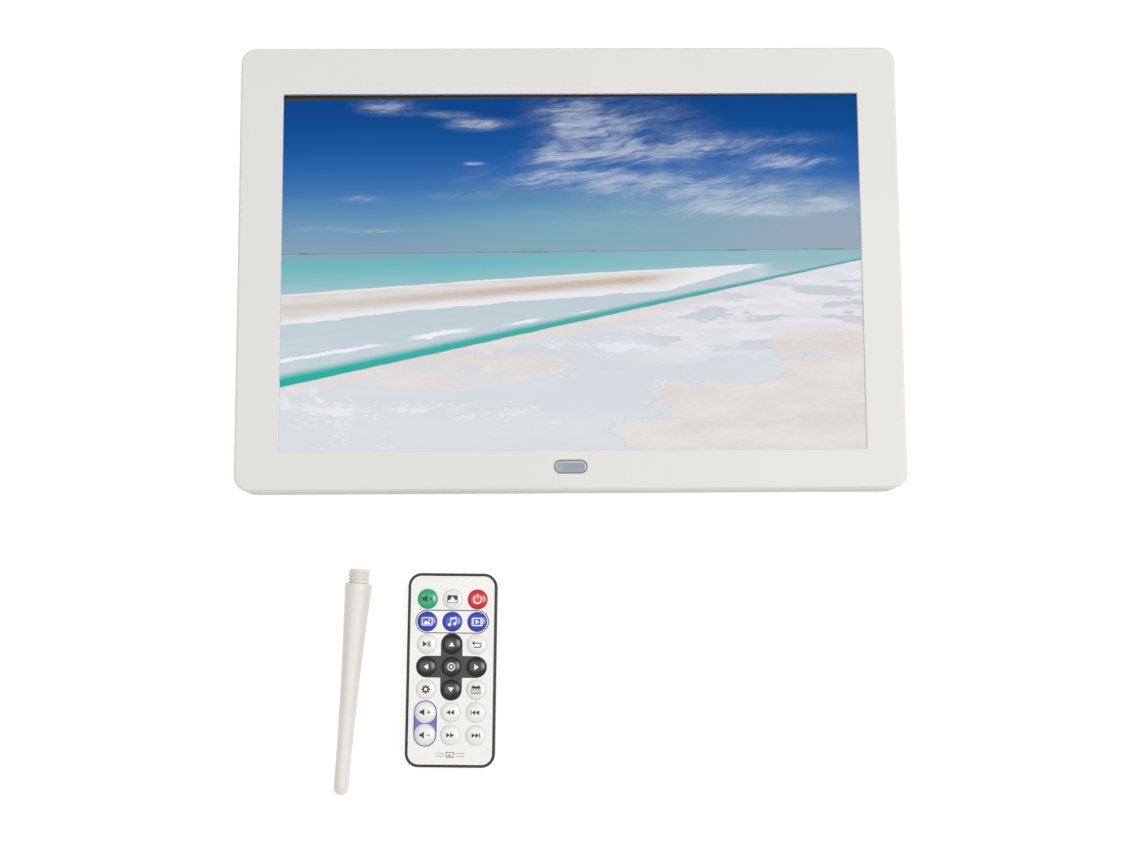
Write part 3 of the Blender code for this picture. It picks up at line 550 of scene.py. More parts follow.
    def _sea(
        self, paint: Paint, across: Value, down: Value, above: bpy.types.NodeSocket
    ) -> bpy.types.NodeSocket:
        """Turquoise water under the horizon, with a thin far shore."""
        stops = (
            (0.450, paint_colour(134, 168, 180)), (0.467, paint_colour(126, 172, 184)),
            (0.482, paint_colour(110, 180, 190)), (0.505, paint_colour(116, 186, 194)),
            (0.535, paint_colour(140, 190, 198)), (0.560, paint_colour(162, 196, 204)),
        )
        ripple = paint.patches(across * 9, down * 210, 3.0, 6.0, 0.7) - 0.5
        nearer = down + 0.010 + across * 0.03 + ripple * 0.016
        water = paint.node("ShaderNodeValToRGB", {"stops": stops}, {0: nearer}).outputs[0]
        far = across.ease(0.25, 0.95) * 0.75
        paler = paint.mix(far, water, paint.mix(down.ease(0.47, 0.515), paint_colour(156, 189, 199),
                                                paint_colour(182, 197, 204)))
        level = down - across * 0.0023
        sea = paint.mix(level.ease(self.horizon, self.horizon + 0.002), above, paler)
        broken = paint.patches(across * 8, 1.0, 1.0, 7.0, 0.72)
        line = (level - self.horizon).size().ease(0.0026, 0.0008)
        shore = line * (broken.ease(0.50, 0.60) * 0.55 + 0.2)
        return paint.mix(shore, sea, paint_colour(92, 106, 114))

    def _land(
        self, paint: Paint, across: Value, down: Value, above: bpy.types.NodeSocket
    ) -> bpy.types.NodeSocket:
        """The sand spit, the lagoon, the deep channel and the salt flats."""
        rough = paint.patches(across * 16, down * 50, 7.0, 7.0, 0.66) - 0.5
        spit_top = 0.556 - across * 0.115 + across * across * 0.03
        upper = 0.642 - across * 0.19 + across * across * 0.09
        spit_end = upper.least(0.832 - across * 0.42)
        on_spit = (down - spit_top + rough * 0.008).ease(-0.002, 0.002)
        picture = paint.mix(on_spit * across.ease(0.85, 0.80), above,
                            self._spit(paint, across, down, spit_top, spit_end))
        shallow = paint.patches(across * 9, down * 40, 21.0, 4.0, 0.6)
        lagoon = paint.mix(down.ease(0.56, 0.74), paint_colour(193, 205, 214),
                           paint_colour(202, 213, 220))
        lagoon = paint.mix(shallow.ease(0.3, 0.7) * 0.5, lagoon, paint_colour(186, 204, 211))
        past_spit = (down - spit_end + rough * 0.022).ease(-0.001, 0.002)
        open_water = across.ease(0.80, 0.86) * down.ease(0.49, 0.53)
        picture = paint.mix((past_spit * across.ease(0.86, 0.80)).most(open_water), picture, lagoon)
        picture = self._foam(paint, across, down, picture)
        bank = 0.814 - across * 0.342
        depth = (bank - down + rough * 0.004) / (0.022 - across * 0.0185)
        fall = depth.ease(2.3, 0.75) ** 1.6
        teal = paint.mix(across, paint_colour(8, 174, 160), paint_colour(90, 168, 172))
        picture = paint.mix(fall * 0.97, picture, teal)
        flats = self._flats(paint, across, down, bank)
        return paint.mix((down - bank + rough * 0.006).ease(-0.0015, 0.0015), picture, flats)

    @staticmethod
    def _foam(
        paint: Paint, across: Value, down: Value, above: bpy.types.NodeSocket
    ) -> bpy.types.NodeSocket:
        """Streaks of salt foam that lie on the lagoon."""
        torn = paint.patches(across * 22, down * 60, 4.0, 7.0, 0.7)
        picture = above
        for start, end, level, slope, thick in (
            (-0.1, 0.19, 0.742, 0.26, 0.005), (0.21, 0.34, 0.738, 0.25, 0.006),
            (0.37, 0.46, 0.738, 0.24, 0.004), (0.49, 0.55, 0.742, 0.25, 0.003),
        ):
            line = (down - (level - across * slope)).size()
            along = across.ease(start, start + 0.04) * across.ease(end, end - 0.04)
            streak = (line / thick + (torn - 0.5) * 5.0).ease(1.2, 0.6) * along
            picture = paint.mix(streak, picture, paint_colour(238, 240, 246))
        return picture

    @staticmethod
    def _spit(
        paint: Paint, across: Value, down: Value, top: Value, end: Value
    ) -> bpy.types.NodeSocket:
        """White-edged sand with a brown streak along its middle."""
        patchy = paint.patches(across * 11, down * 110, 6.0, 7.0, 0.7)
        grain = paint.patches(across * 90, down * 160, 16.0, 4.0, 0.7)
        sand = paint.mix(patchy.ease(0.3, 0.7), paint_colour(216, 210, 206),
                         paint_colour(228, 224, 220))
        middle = 0.596 - across * 0.121
        band = (down - middle + (patchy - 0.5) * 0.014).size()
        spread = 0.020 - across * 0.006
        brown = (band / spread).ease(1.05, 0.1) * across.ease(0.74, 0.62)
        strong = (across.ease(0.0, 0.5) * 0.45 + 0.35) * (patchy * 0.6 + grain * 0.6)
        picture = paint.mix(brown * strong * 1.5, sand, paint_colour(190, 171, 155))
        rim = (end - down + (patchy - 0.5) * 0.012).ease(0.020, 0.008).most(
            (down - top).ease(0.007, 0.002))
        return paint.mix(rim.most(across.ease(0.60, 0.74) * 0.9), picture,
                         paint_colour(232, 233, 236))

    def _flats(
        self, paint: Paint, across: Value, down: Value, bank: Value
    ) -> bpy.types.NodeSocket:
        """Pale brine with white salt crusts, a sandy bank and beige ground at the right."""
        bright = (((across - 0.55) / 0.22) ** 2 + ((down - 0.71) / 0.07) ** 2).root().ease(1.0, 0.2)
        crust = paint.patches(across * 6.5, down * 11, 8.0, 9.0, 0.60) + bright * 0.06 - 0.03
        lace = (paint.patches(across * 8, down * 15, 31.0, 8.0, 0.62) - 0.5).size()
        brine = paint.mix(down.ease(0.65, 1.0), paint_colour(209, 215, 221),
                          paint_colour(215, 221, 225))
        cloudy = paint.patches(across * 3, down * 9, 12.0, 4.0, 0.6)
        brine = paint.mix(cloudy.ease(0.35, 0.7) * 0.6, brine, paint_colour(222, 226, 231))
        white = paint_colour(236, 235, 240)
        picture = paint.mix(crust.ease(0.55, 0.60) * 0.75, brine, white)
        picture = paint.mix(lace.ease(0.012, 0.003) * crust.ease(0.44, 0.52) * 0.8, picture, white)
        picture = self._salt_field(paint, across, down, picture)
        return self._sand(paint, across, down, bank, crust, picture)

    @staticmethod
    def _salt_field(
        paint: Paint, across: Value, down: Value, above: bpy.types.NodeSocket
    ) -> bpy.types.NodeSocket:
        """Bright salt at the right, broken by flat blue-grey pools."""
        pools = paint.patches(across * 5.2 + 3, down * 17, 11.0, 8.0, 0.56)
        field_share = across.ease(0.50, 0.70) * down.ease(0.80, 0.66)
        tint = paint.patches(across * 14, down * 40, 14.0, 6.0, 0.6)
        salt = paint.mix(tint.ease(0.35, 0.7), paint_colour(224, 221, 227),
                         paint_colour(234, 233, 240))
        picture = paint.mix(field_share * 0.9, above, salt)
        pool = pools.ease(0.505, 0.525) * field_share
        depth = paint.mix(tint, paint_colour(196, 204, 213), paint_colour(206, 210, 219))
        picture = paint.mix(pool, picture, depth)
        near_channel = (down - 0.545 + (across - 0.7) * 0.30).ease(0.07, 0.0)
        near_channel = near_channel * across.ease(0.55, 0.7)
        return paint.mix(near_channel * 0.5, picture, paint_colour(218, 220, 226))

    @staticmethod
    def _sand(
        paint: Paint, across: Value, down: Value, bank: Value, crust: Value,
        above: bpy.types.NodeSocket,
    ) -> bpy.types.NodeSocket:
        """The bank beside the channel, a dry patch and the beige ground at the right."""
        inland = down * 0.95 + across * 0.80 + (crust - 0.5) * 0.75
        sandy = inland.ease(1.335, 1.385) * down.ease(0.62, 0.70)
        beside = (down - bank + (crust - 0.5) * 0.05).ease(0.040, 0.018) * across.ease(0.95, 0.60)
        dry = (((across - 0.30) / 0.20) ** 2 + ((down - 0.775 + across * 0.1 - 0.03) / 0.045) ** 2)
        patch = dry.root().ease(1.15, 0.85) * crust.ease(0.40, 0.48)
        fine = paint.patches(across * 70, down * 130, 13.0, 6.0, 0.7)
        broad = paint.patches(across * 6, down * 16, 15.0, 5.0, 0.6)
        tone = paint.mix(broad.ease(0.3, 0.7), paint_colour(219, 212, 209),
                         paint_colour(229, 223, 221))
        tone = paint.mix(fine.ease(0.35, 0.75) * 0.35, tone, paint_colour(238, 233, 230))
        ground = sandy.most(beside * 0.8).most(patch * 0.85)
        picture = paint.mix(ground, above, tone)
        edge = (inland - 1.345).size().ease(0.012, 0.002) * down.ease(0.66, 0.74)
        picture = paint.mix(edge * fine.ease(0.4, 0.6) * 0.6, picture, paint_colour(206, 204, 206))
        scratch = paint.patches(across * 26 + down * 20, down * 150, 17.0, 7.0, 0.74)
        dark = scratch.ease(0.62, 0.74) * ground
        return paint.mix(dark * 0.55, picture, paint_colour(192, 182, 176))


# ------------------------------------------------------------------ modelling moves
class Bench:
    """The moves that shape a new piece, each made with Blender's own operators."""

    @staticmethod
    def hold(piece: bpy.types.Object) -> None:
        """Leave edit mode and make one piece the only selected and active one."""
        if bpy.context.object and bpy.context.object.mode != "OBJECT":
            bpy.ops.object.mode_set(mode="OBJECT")
        bpy.ops.object.select_all(action="DESELECT")
        piece.select_set(True)
        bpy.context.view_layer.objects.active = piece

    @staticmethod
    def fix_place(piece: bpy.types.Object) -> None:
        """Move a piece's place, turn and scale into its mesh."""
        Bench.hold(piece)
        bpy.ops.object.transform_apply(location=True, rotation=True, scale=True)

    @staticmethod
    def move(piece: bpy.types.Object, place: Sequence[float]) -> None:
        """Move a piece to a place and keep that place in its mesh."""
        piece.location = place
        Bench.fix_place(piece)

    @staticmethod
    def block(name: str, size: Sequence[float], middle: Sequence[float]) -> bpy.types.Object:
        """Add a block at its size and place."""
        bpy.ops.object.select_all(action="DESELECT")
        bpy.ops.mesh.primitive_cube_add(size=1, location=middle, scale=size)
        piece = bpy.context.object
        piece.name = name
        Bench.fix_place(piece)
        return piece

    @staticmethod
    def rod(
        name: str, radius: float, middle: Sequence[float], length: float, sides: int = 40,
        axis: str = "Z",
    ) -> bpy.types.Object:
        """Add a round bar along an axis at its size and place."""
        turn = {"X": (0, pi / 2, 0), "Y": (pi / 2, 0, 0), "Z": (0, 0, 0)}[axis]
        bpy.ops.object.select_all(action="DESELECT")
        bpy.ops.mesh.primitive_cylinder_add(
            vertices=sides, radius=radius, depth=length, location=middle, rotation=turn
        )
        piece = bpy.context.object
        piece.name = name
        Bench.fix_place(piece)
        return piece

    @staticmethod
    def pick(
        piece: bpy.types.Object, kind: str, test: Callable[[list[Vector]], bool]
    ) -> None:
        """Select in edit mode just the edges or faces whose corners pass a test.

        Args:
            piece: The piece, which stays in edit mode.
            kind: "EDGE" or "FACE".
            test: Takes the corners' places and says whether the edge or face is wanted.
        """
        Bench.hold(piece)
        bpy.ops.object.mode_set(mode="EDIT")
        bpy.ops.mesh.select_mode(type=kind)
        bpy.ops.mesh.select_all(action="DESELECT")
        work = bmesh.from_edit_mesh(piece.data)
        for part in work.edges if kind == "EDGE" else work.faces:
            part.select_set(test([vert.co for vert in part.verts]))
        bmesh.update_edit_mesh(piece.data)

    @staticmethod
    def done(piece: bpy.types.Object) -> None:
        """Leave edit mode."""
        Bench.hold(piece)

    @staticmethod
    def round_level(piece: bpy.types.Object, level: float, radius: float, steps: int) -> None:
        """Round the outer edge that runs round the piece at one height."""
        near = 1e-6
        Bench.pick(piece, "EDGE", lambda ends: all(abs(end.z - level) < near for end in ends))
        bpy.ops.mesh.bevel(offset=radius, segments=steps, profile=0.5, affect="EDGES")
        Bench.done(piece)

    @staticmethod
    def slab(
        name: str, size: Sequence[float], middle: Sequence[float], corner: float,
        steps: int = 10,
    ) -> bpy.types.Object:
        """Add a block and round its four upright edges."""
        piece = Bench.block(name, size, middle)
        flat = 1e-7

        def upright(ends: list[Vector]) -> bool:
            """Say whether an edge stands upright."""
            return (ends[0].xy - ends[1].xy).length < flat

        Bench.pick(piece, "EDGE", upright)
        bpy.ops.mesh.bevel(offset=corner, segments=steps, profile=0.5, affect="EDGES")
        Bench.done(piece)
        return piece

    @staticmethod
    def layer(
        name: str, size: Sequence[float], bottom: float, top: float,
        middle: Sequence[float] = (0, 0), corner: float = 0.0, steps: int = 10,
    ) -> bpy.types.Object:
        """Add a slab given by its two heights."""
        full = (size[0], size[1], top - bottom)
        place = (middle[0], middle[1], (top + bottom) / 2)
        if corner <= 0:
            return Bench.block(name, full, place)
        return Bench.slab(name, full, place, corner, steps)

    @staticmethod
    def shape(
        piece: bpy.types.Object, tool: bpy.types.Object, operation: str = "DIFFERENCE"
    ) -> None:
        """Cut, join or intersect a piece with a tool, which is used up."""
        modifier = piece.modifiers.new(tool.name, "BOOLEAN")
        modifier.operation = operation
        modifier.object = tool
        Bench.hold(piece)
        bpy.ops.object.modifier_apply(modifier=modifier.name)
        bpy.data.objects.remove(tool, do_unlink=True)

    @staticmethod
    def soften(
        piece: bpy.types.Object, width: float, steps: int = 2, angle: float = 40.0
    ) -> None:
        """Round every edge sharper than an angle, then shade the piece smooth."""
        modifier = piece.modifiers.new("edge", "BEVEL")
        modifier.width = width
        modifier.segments = steps
        modifier.limit_method = "ANGLE"
        modifier.angle_limit = radians(angle)
        Bench.hold(piece)
        bpy.ops.object.modifier_apply(modifier=modifier.name)
        Bench.smooth(piece)

    @staticmethod
    def smooth(piece: bpy.types.Object, angle: float = 35.0) -> None:
        """Shade a piece smooth except across sharp edges."""
        Bench.hold(piece)
        bpy.ops.object.shade_smooth_by_angle(angle=radians(angle))

    @staticmethod
    def level_shading(piece: bpy.types.Object) -> None:
        """Keep large flat faces evenly shaded right up to their rounded edges."""
        modifier = piece.modifiers.new("level", "WEIGHTED_NORMAL")
        modifier.keep_sharp = True
        Bench.hold(piece)
        bpy.ops.object.modifier_apply(modifier=modifier.name)

    @staticmethod
    def close(piece: bpy.types.Object) -> None:
        """Merge doubled points and turn every face outwards."""
        Bench.pick(piece, "FACE", lambda corners: True)
        bpy.ops.mesh.select_all(action="SELECT")
        bpy.ops.mesh.remove_doubles(threshold=1e-7)
        bpy.ops.mesh.normals_make_consistent(inside=False)
        Bench.done(piece)

    @staticmethod
    def turned(name: str, profile: Sequence[tuple[float, float]], steps: int) -> bpy.types.Object:
        """Spin a profile of radius and height once about Z.

        Args:
            name: The piece's name.
            profile: Radius and height of each point, from the lower pole to the upper.
            steps: How many steps make the full turn.

        Returns:
            The closed piece.
        """
        bpy.ops.object.select_all(action="DESELECT")
        bpy.ops.mesh.primitive_plane_add(size=MM, location=(profile[0][0], 0, profile[0][1]))
        piece = bpy.context.object
        piece.name = name
        Bench.fix_place(piece)
        bpy.ops.object.mode_set(mode="EDIT")
        bpy.ops.mesh.select_mode(type="VERT")
        bpy.ops.mesh.select_all(action="SELECT")
        bpy.ops.mesh.merge(type="CENTER")
        for start, end in zip(profile, profile[1:]):
            step = (end[0] - start[0], 0, end[1] - start[1])
            bpy.ops.mesh.extrude_region_move(TRANSFORM_OT_translate={"value": step})
        bpy.ops.mesh.select_all(action="SELECT")
        bpy.ops.mesh.spin(steps=steps, angle=2 * pi, center=(0, 0, 0), axis=(0, 0, 1))
        Bench.close(piece)
        return piece

    @staticmethod
    def flat_shape(name: str, outlines: Iterable[Outline], bottom: float, top: float,
                   ) -> bpy.types.Object:
        """Raise flat outlines into a solid; an outline inside another makes a hole."""
        curve = bpy.data.curves.new(name, "CURVE")
        curve.dimensions = "2D"
        curve.fill_mode = "BOTH"
        curve.extrude = (top - bottom) / 2
        for outline in outlines:
            spline = curve.splines.new("POLY")
            spline.points.add(len(outline) - 1)
            for point, (x, y) in zip(spline.points, outline):
                point.co = (x, y, 0, 1)
            spline.use_cyclic_u = True
        piece = bpy.data.objects.new(name, curve)
        bpy.context.collection.objects.link(piece)
        Bench.hold(piece)
        bpy.ops.object.convert(target="MESH")
        piece = bpy.context.object
        Bench.move(piece, (0, 0, (top + bottom) / 2))
        Bench.close(piece)
        return piece

    @staticmethod
    def twin(piece: bpy.types.Object, name: str, place: Sequence[float]) -> bpy.types.Object:
        """Copy a piece with its own mesh and move the copy."""
        copy = piece.copy()
        copy.data = piece.data.copy()
        copy.name = name
        bpy.context.collection.objects.link(copy)
        Bench.move(copy, place)
        return copy


def dress(piece: bpy.types.Object, material: bpy.types.Material) -> None:
    """Give a piece one material in all its slots."""
    if not piece.data.materials:
        piece.data.materials.append(material)
    for place in range(len(piece.data.materials)):
        piece.data.materials[place] = material


def settle(
    piece: bpy.types.Object, material: bpy.types.Material, body: str,
    replaces: Sequence[str] = (),
) -> None:
    """Dress a finished piece, let it ride on its body and say what it stands for.

    Args:
        piece: The finished piece, in place.
        material: Its finish.
        body: The body that carries it.
        replaces: The CAD nodes that it stands for.
    """
    dress(piece, material)
    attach(piece, body)
    if replaces:
        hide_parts(*replaces)
    log.info("%s rides on %s, %d faces", piece.name, body, len(piece.data.polygons))


# ------------------------------------------------------------------ flat outlines
def circle(radius: float, middle: Sequence[float] = (0, 0), steps: int = 40) -> Outline:
    """Points round a circle."""
    return [
        (middle[0] + radius * cos(angle), middle[1] + radius * sin(angle))
        for angle in (2 * pi * step / steps for step in range(steps))
    ]


def bar(start: Sequence[float], end: Sequence[float], width: float) -> Outline:
    """A straight bar of one width between two points."""
    length = hypot(end[0] - start[0], end[1] - start[1])
    side_x = (start[1] - end[1]) / length * width / 2
    side_y = (end[0] - start[0]) / length * width / 2
    return [
        (start[0] - side_x, start[1] - side_y), (end[0] - side_x, end[1] - side_y),
        (end[0] + side_x, end[1] + side_y), (start[0] + side_x, start[1] + side_y),
    ]


def arc_band(
    radius: float, width: float, start: float, end: float, middle: Sequence[float] = (0, 0),
    steps: int = 24,
) -> Outline:
    """A bent band between two angles in degrees."""
    outer, inner = [], []
    for step in range(steps + 1):
        angle = radians(start + (end - start) * step / steps)
        for side, reach in ((outer, radius + width / 2), (inner, radius - width / 2)):
            side.append((middle[0] + reach * cos(angle), middle[1] + reach * sin(angle)))
    return outer + inner[::-1]


def pill(
    length: float, width: float, middle: Sequence[float] = (0, 0), upright: bool = False,
    steps: int = 20,
) -> Outline:
    """A slot shape with round ends."""
    points = []
    for end in (0, 1):
        for step in range(steps + 1):
            angle = -pi / 2 + (end + step / steps) * pi
            along = (1 - 2 * end) * (length - width) / 2 + width / 2 * cos(angle)
            across = width / 2 * sin(angle)
            points.append((along, across) if not upright else (-across, along))
    return [(middle[0] + x, middle[1] + y) for x, y in points]


def rounded(
    width: float, height: float, corner: float, middle: Sequence[float] = (0, 0), steps: int = 8
) -> Outline:
    """A rectangle with round corners."""
    points = []
    for quarter, (side_x, side_y) in enumerate(((1, 1), (-1, 1), (-1, -1), (1, -1))):
        for step in range(steps + 1):
            angle = (quarter + step / steps) * pi / 2
            points.append((
                middle[0] + side_x * (width / 2 - corner) + corner * cos(angle),
                middle[1] + side_y * (height / 2 - corner) + corner * sin(angle),
            ))
    return points


def arrowhead(tip: Sequence[float], angle: float, size: float) -> Outline:
    """A triangle that points along an angle in degrees, tip first."""
    heading = Vector((cos(radians(angle)), sin(radians(angle))))
    side = Vector((-heading.y, heading.x))
    base = Vector(tip) - heading * size
    return [tuple(tip), tuple(base + side * size * 0.66), tuple(base - side * size * 0.66)]


def plus(middle: Sequence[float], reach: float, width: float, turn: float = 0.0) -> Outline:
    """A plus sign as one outline, turned by an angle in degrees."""
    half = width / 2
    points = []
    for quarter in range(4):
        angle = radians(turn + 90 * quarter)
        for x, y in ((reach, -half), (reach, half), (half, half)):
            points.append((
                middle[0] + x * cos(angle) - y * sin(angle),
                middle[1] + x * sin(angle) + y * cos(angle),
            ))
    return points


def stroke(points: Sequence[Sequence[float]], width: float) -> Outline:
    """A line of one width through several points, with mitred bends, as one outline."""
    def side(start: Sequence[float], end: Sequence[float]) -> Vector:
        """Unit vector to the left of a segment."""
        return Vector((start[1] - end[1], end[0] - start[0])).normalized()

    left, right = [], []
    for place, point in enumerate(points):
        sides = [side(start, end) for start, end in zip(points, points[1:])][
            max(place - 1, 0):place + 1]
        mean = sum(sides, Vector((0, 0))) / len(sides)
        offset = mean * (width / 2 / mean.length_squared)
        left.append((point[0] + offset.x, point[1] + offset.y))
        right.append((point[0] - offset.x, point[1] - offset.y))
    return left + right[::-1]


def arc_points(radius: float, start: float, end: float, middle: Sequence[float] = (0, 0),
               steps: int = 20) -> Outline:
    """Points along an arc between two angles in degrees."""
    return [
        (middle[0] + radius * cos(angle), middle[1] + radius * sin(angle))
        for angle in (radians(start + (end - start) * step / steps) for step in range(steps + 1))
    ]


class Symbol(Enum):
    """The plain pictograms on the keys, drawn in millimetres round a key's middle."""

    MUTE = "mute"
    SLIDESHOW = "slideshow"
    POWER = "power"
    PHOTO = "photo"
    MUSIC = "music"
    VIDEO = "video"
    PLAY = "play"
    UP = "up"
    RETURN = "return"
    LEFT = "left"
    OK = "ok"
    RIGHT = "right"
    SETUP = "setup"
    DOWN = "down"
    CALENDAR = "calendar"
    VOLUME_UP = "volume_up"
    REWIND = "rewind"
    PREVIOUS = "previous"
    VOLUME_DOWN = "volume_down"
    FORWARD = "forward"
    NEXT = "next"
    MENU = "menu"

    def outlines(self) -> list[Outline]:
        """Return the pictogram's outlines in metres."""
        drawn = getattr(self, f"_{self.value}")()
        return [[(x * MM, y * MM) for x, y in outline] for outline in drawn]

    @staticmethod
    def _speaker(shift: float = 0.0) -> Outline:
        """A loudspeaker seen from the side."""
        points = ((-1.8, -0.65), (-0.95, -0.65), (0.25, -1.6), (0.25, 1.6), (-0.95, 0.65),
                  (-1.8, 0.65))
        return [(x + shift, y) for x, y in points]

    def _mute(self) -> list[Outline]:
        """A loudspeaker with a cross beside it."""
        larger = [(x * 1.2, y * 1.2) for x, y in self._speaker(-0.2)]
        return [larger, plus((1.55, 0.0), 1.05, 0.42, 45)]

    @staticmethod
    def _slideshow() -> list[Outline]:
        """A picture on a screen with one tall peak."""
        peak = [(-2.05, -1.5), (2.05, -1.5), (2.05, -0.45), (1.25, -0.45), (0.0, 1.3),
                (-1.25, -0.45), (-2.05, -0.45)]
        return [rounded(4.7, 3.5, 0.4), peak]

    @staticmethod
    def _power() -> list[Outline]:
        """A broken ring with a bar in its gap."""
        return [arc_band(1.75, 0.5, 122, 418), bar((0, 0.45), (0, 2.55), 0.5)]

    @staticmethod
    def _photo() -> list[Outline]:
        """A picture with two peaks and a sun."""
        return [
            rounded(4.8, 3.7, 0.3), rounded(4.0, 2.9, 0.12),
            [(-1.75, -1.2), (-0.6, 0.5), (0.1, -0.4), (0.6, 0.2), (1.75, -1.2)],
            circle(0.4, (1.05, 0.78), 16),
        ]

    @staticmethod
    def _music() -> list[Outline]:
        """Two quavers under one beam, as one outline."""
        left_head = arc_points(0.68, 61, 360, (-1.2, -1.35))
        right_head = arc_points(0.68, 61, 360, (1.25, -0.95))
        return [
            left_head + [(-0.52, 0.95), (1.58, 1.3)] + right_head + [(1.93, 2.15), (-0.87, 1.65)]
        ]

    @staticmethod
    def _video() -> list[Outline]:
        """A strip of film with a pointer in its middle."""
        film = [rounded(4.8, 3.7, 0.3), rounded(3.0, 2.8, 0.1)]
        film += [rounded(0.4, 0.5, 0.06, (side * 1.95, row * 1.05), 2) for side in (-1, 1)
                 for row in (-1, 0, 1)]
        return film + [arrowhead((0.95, 0.0), 0, 1.6)]

    @staticmethod
    def _play() -> list[Outline]:
        """A pointer and two bars."""
        return [arrowhead((0.25, 0), 0, 2.0), bar((0.72, -1.2), (0.72, 1.2), 0.46),
                bar((1.5, -1.2), (1.5, 1.2), 0.46)]

    @staticmethod
    def _up() -> list[Outline]:
        """A pointer up."""
        return [arrowhead((0, 1.05), 90, 2.0)]

    @staticmethod
    def _down() -> list[Outline]:
        """A pointer down."""
        return [arrowhead((0, -1.05), 270, 2.0)]

    @staticmethod
    def _left() -> list[Outline]:
        """A pointer to the left."""
        return [arrowhead((-1.1, 0), 180, 2.0)]

    @staticmethod
    def _right() -> list[Outline]:
        """A pointer to the right."""
        return [arrowhead((1.1, 0), 0, 2.0)]

    @staticmethod
    def _return() -> list[Outline]:
        """An arrow that turns back."""
        bend = arc_points(0.95, 90, -90, (1.0, -0.35))
        return [stroke([(-0.75, 0.6), *bend, (-1.4, -1.3)], 0.42), arrowhead((-2.3, 0.6), 180, 1.4)]

    @staticmethod
    def _ok() -> list[Outline]:
        """A ring with a dot."""
        return [circle(1.75, steps=40), circle(1.3, steps=40), circle(0.62, steps=24)]

    @staticmethod
    def _setup() -> list[Outline]:
        """A toothed wheel."""
        rim, teeth = [], 8
        for tooth in range(teeth):
            for share, reach in ((-0.30, 1.45), (-0.20, 2.0), (0.20, 2.0), (0.30, 1.45)):
                angle = (tooth + share) * 2 * pi / teeth
                rim.append((reach * cos(angle), reach * sin(angle)))
        return [rim, circle(0.72, steps=24)]

    @staticmethod
    def _calendar() -> list[Outline]:
        """A leaf of a calendar with its rings and days."""
        leaf = [rounded(4.0, 3.5, 0.25, (0, -0.15)), rounded(3.4, 2.1, 0.06, (0, -0.55))]
        days = [rounded(0.6, 0.55, 0.05, (column * 0.98, -0.55 + row * 0.52), 2)
                for column in (-1, 0, 1) for row in (-1, 1)]
        rings = [bar((side * 1.05, 1.62), (side * 1.05, 2.2), 0.36) for side in (-1, 1)]
        return leaf + days + rings

    def _volume_up(self) -> list[Outline]:
        """A loudspeaker and a plus."""
        return [self._speaker(-0.6), plus((1.5, 0.0), 0.8, 0.36)]

    def _volume_down(self) -> list[Outline]:
        """A loudspeaker and a minus."""
        return [self._speaker(-0.6), bar((0.7, 0), (2.3, 0), 0.36)]

    @staticmethod
    def _rewind() -> list[Outline]:
        """Two pointers to the left."""
        return [arrowhead((-1.8, 0), 180, 1.7), arrowhead((-0.02, 0), 180, 1.7)]

    @staticmethod
    def _forward() -> list[Outline]:
        """Two pointers to the right."""
        return [arrowhead((0.02, 0), 0, 1.7), arrowhead((1.8, 0), 0, 1.7)]

    @staticmethod
    def _previous() -> list[Outline]:
        """A bar and two pointers to the left."""
        return [bar((-2.05, -1.15), (-2.05, 1.15), 0.42), arrowhead((-1.75, 0), 180, 1.65),
                arrowhead((-0.02, 0), 180, 1.65)]

    @staticmethod
    def _next() -> list[Outline]:
        """Two pointers to the right and a bar."""
        return [bar((2.05, -1.15), (2.05, 1.15), 0.42), arrowhead((1.75, 0), 0, 1.65),
                arrowhead((0.02, 0), 0, 1.65)]

    @staticmethod
    def _menu() -> list[Outline]:
        """Three lines."""
        return [bar((-1.4, row * 0.9), (1.4, row * 0.9), 0.36) for row in (-1, 0, 1)]


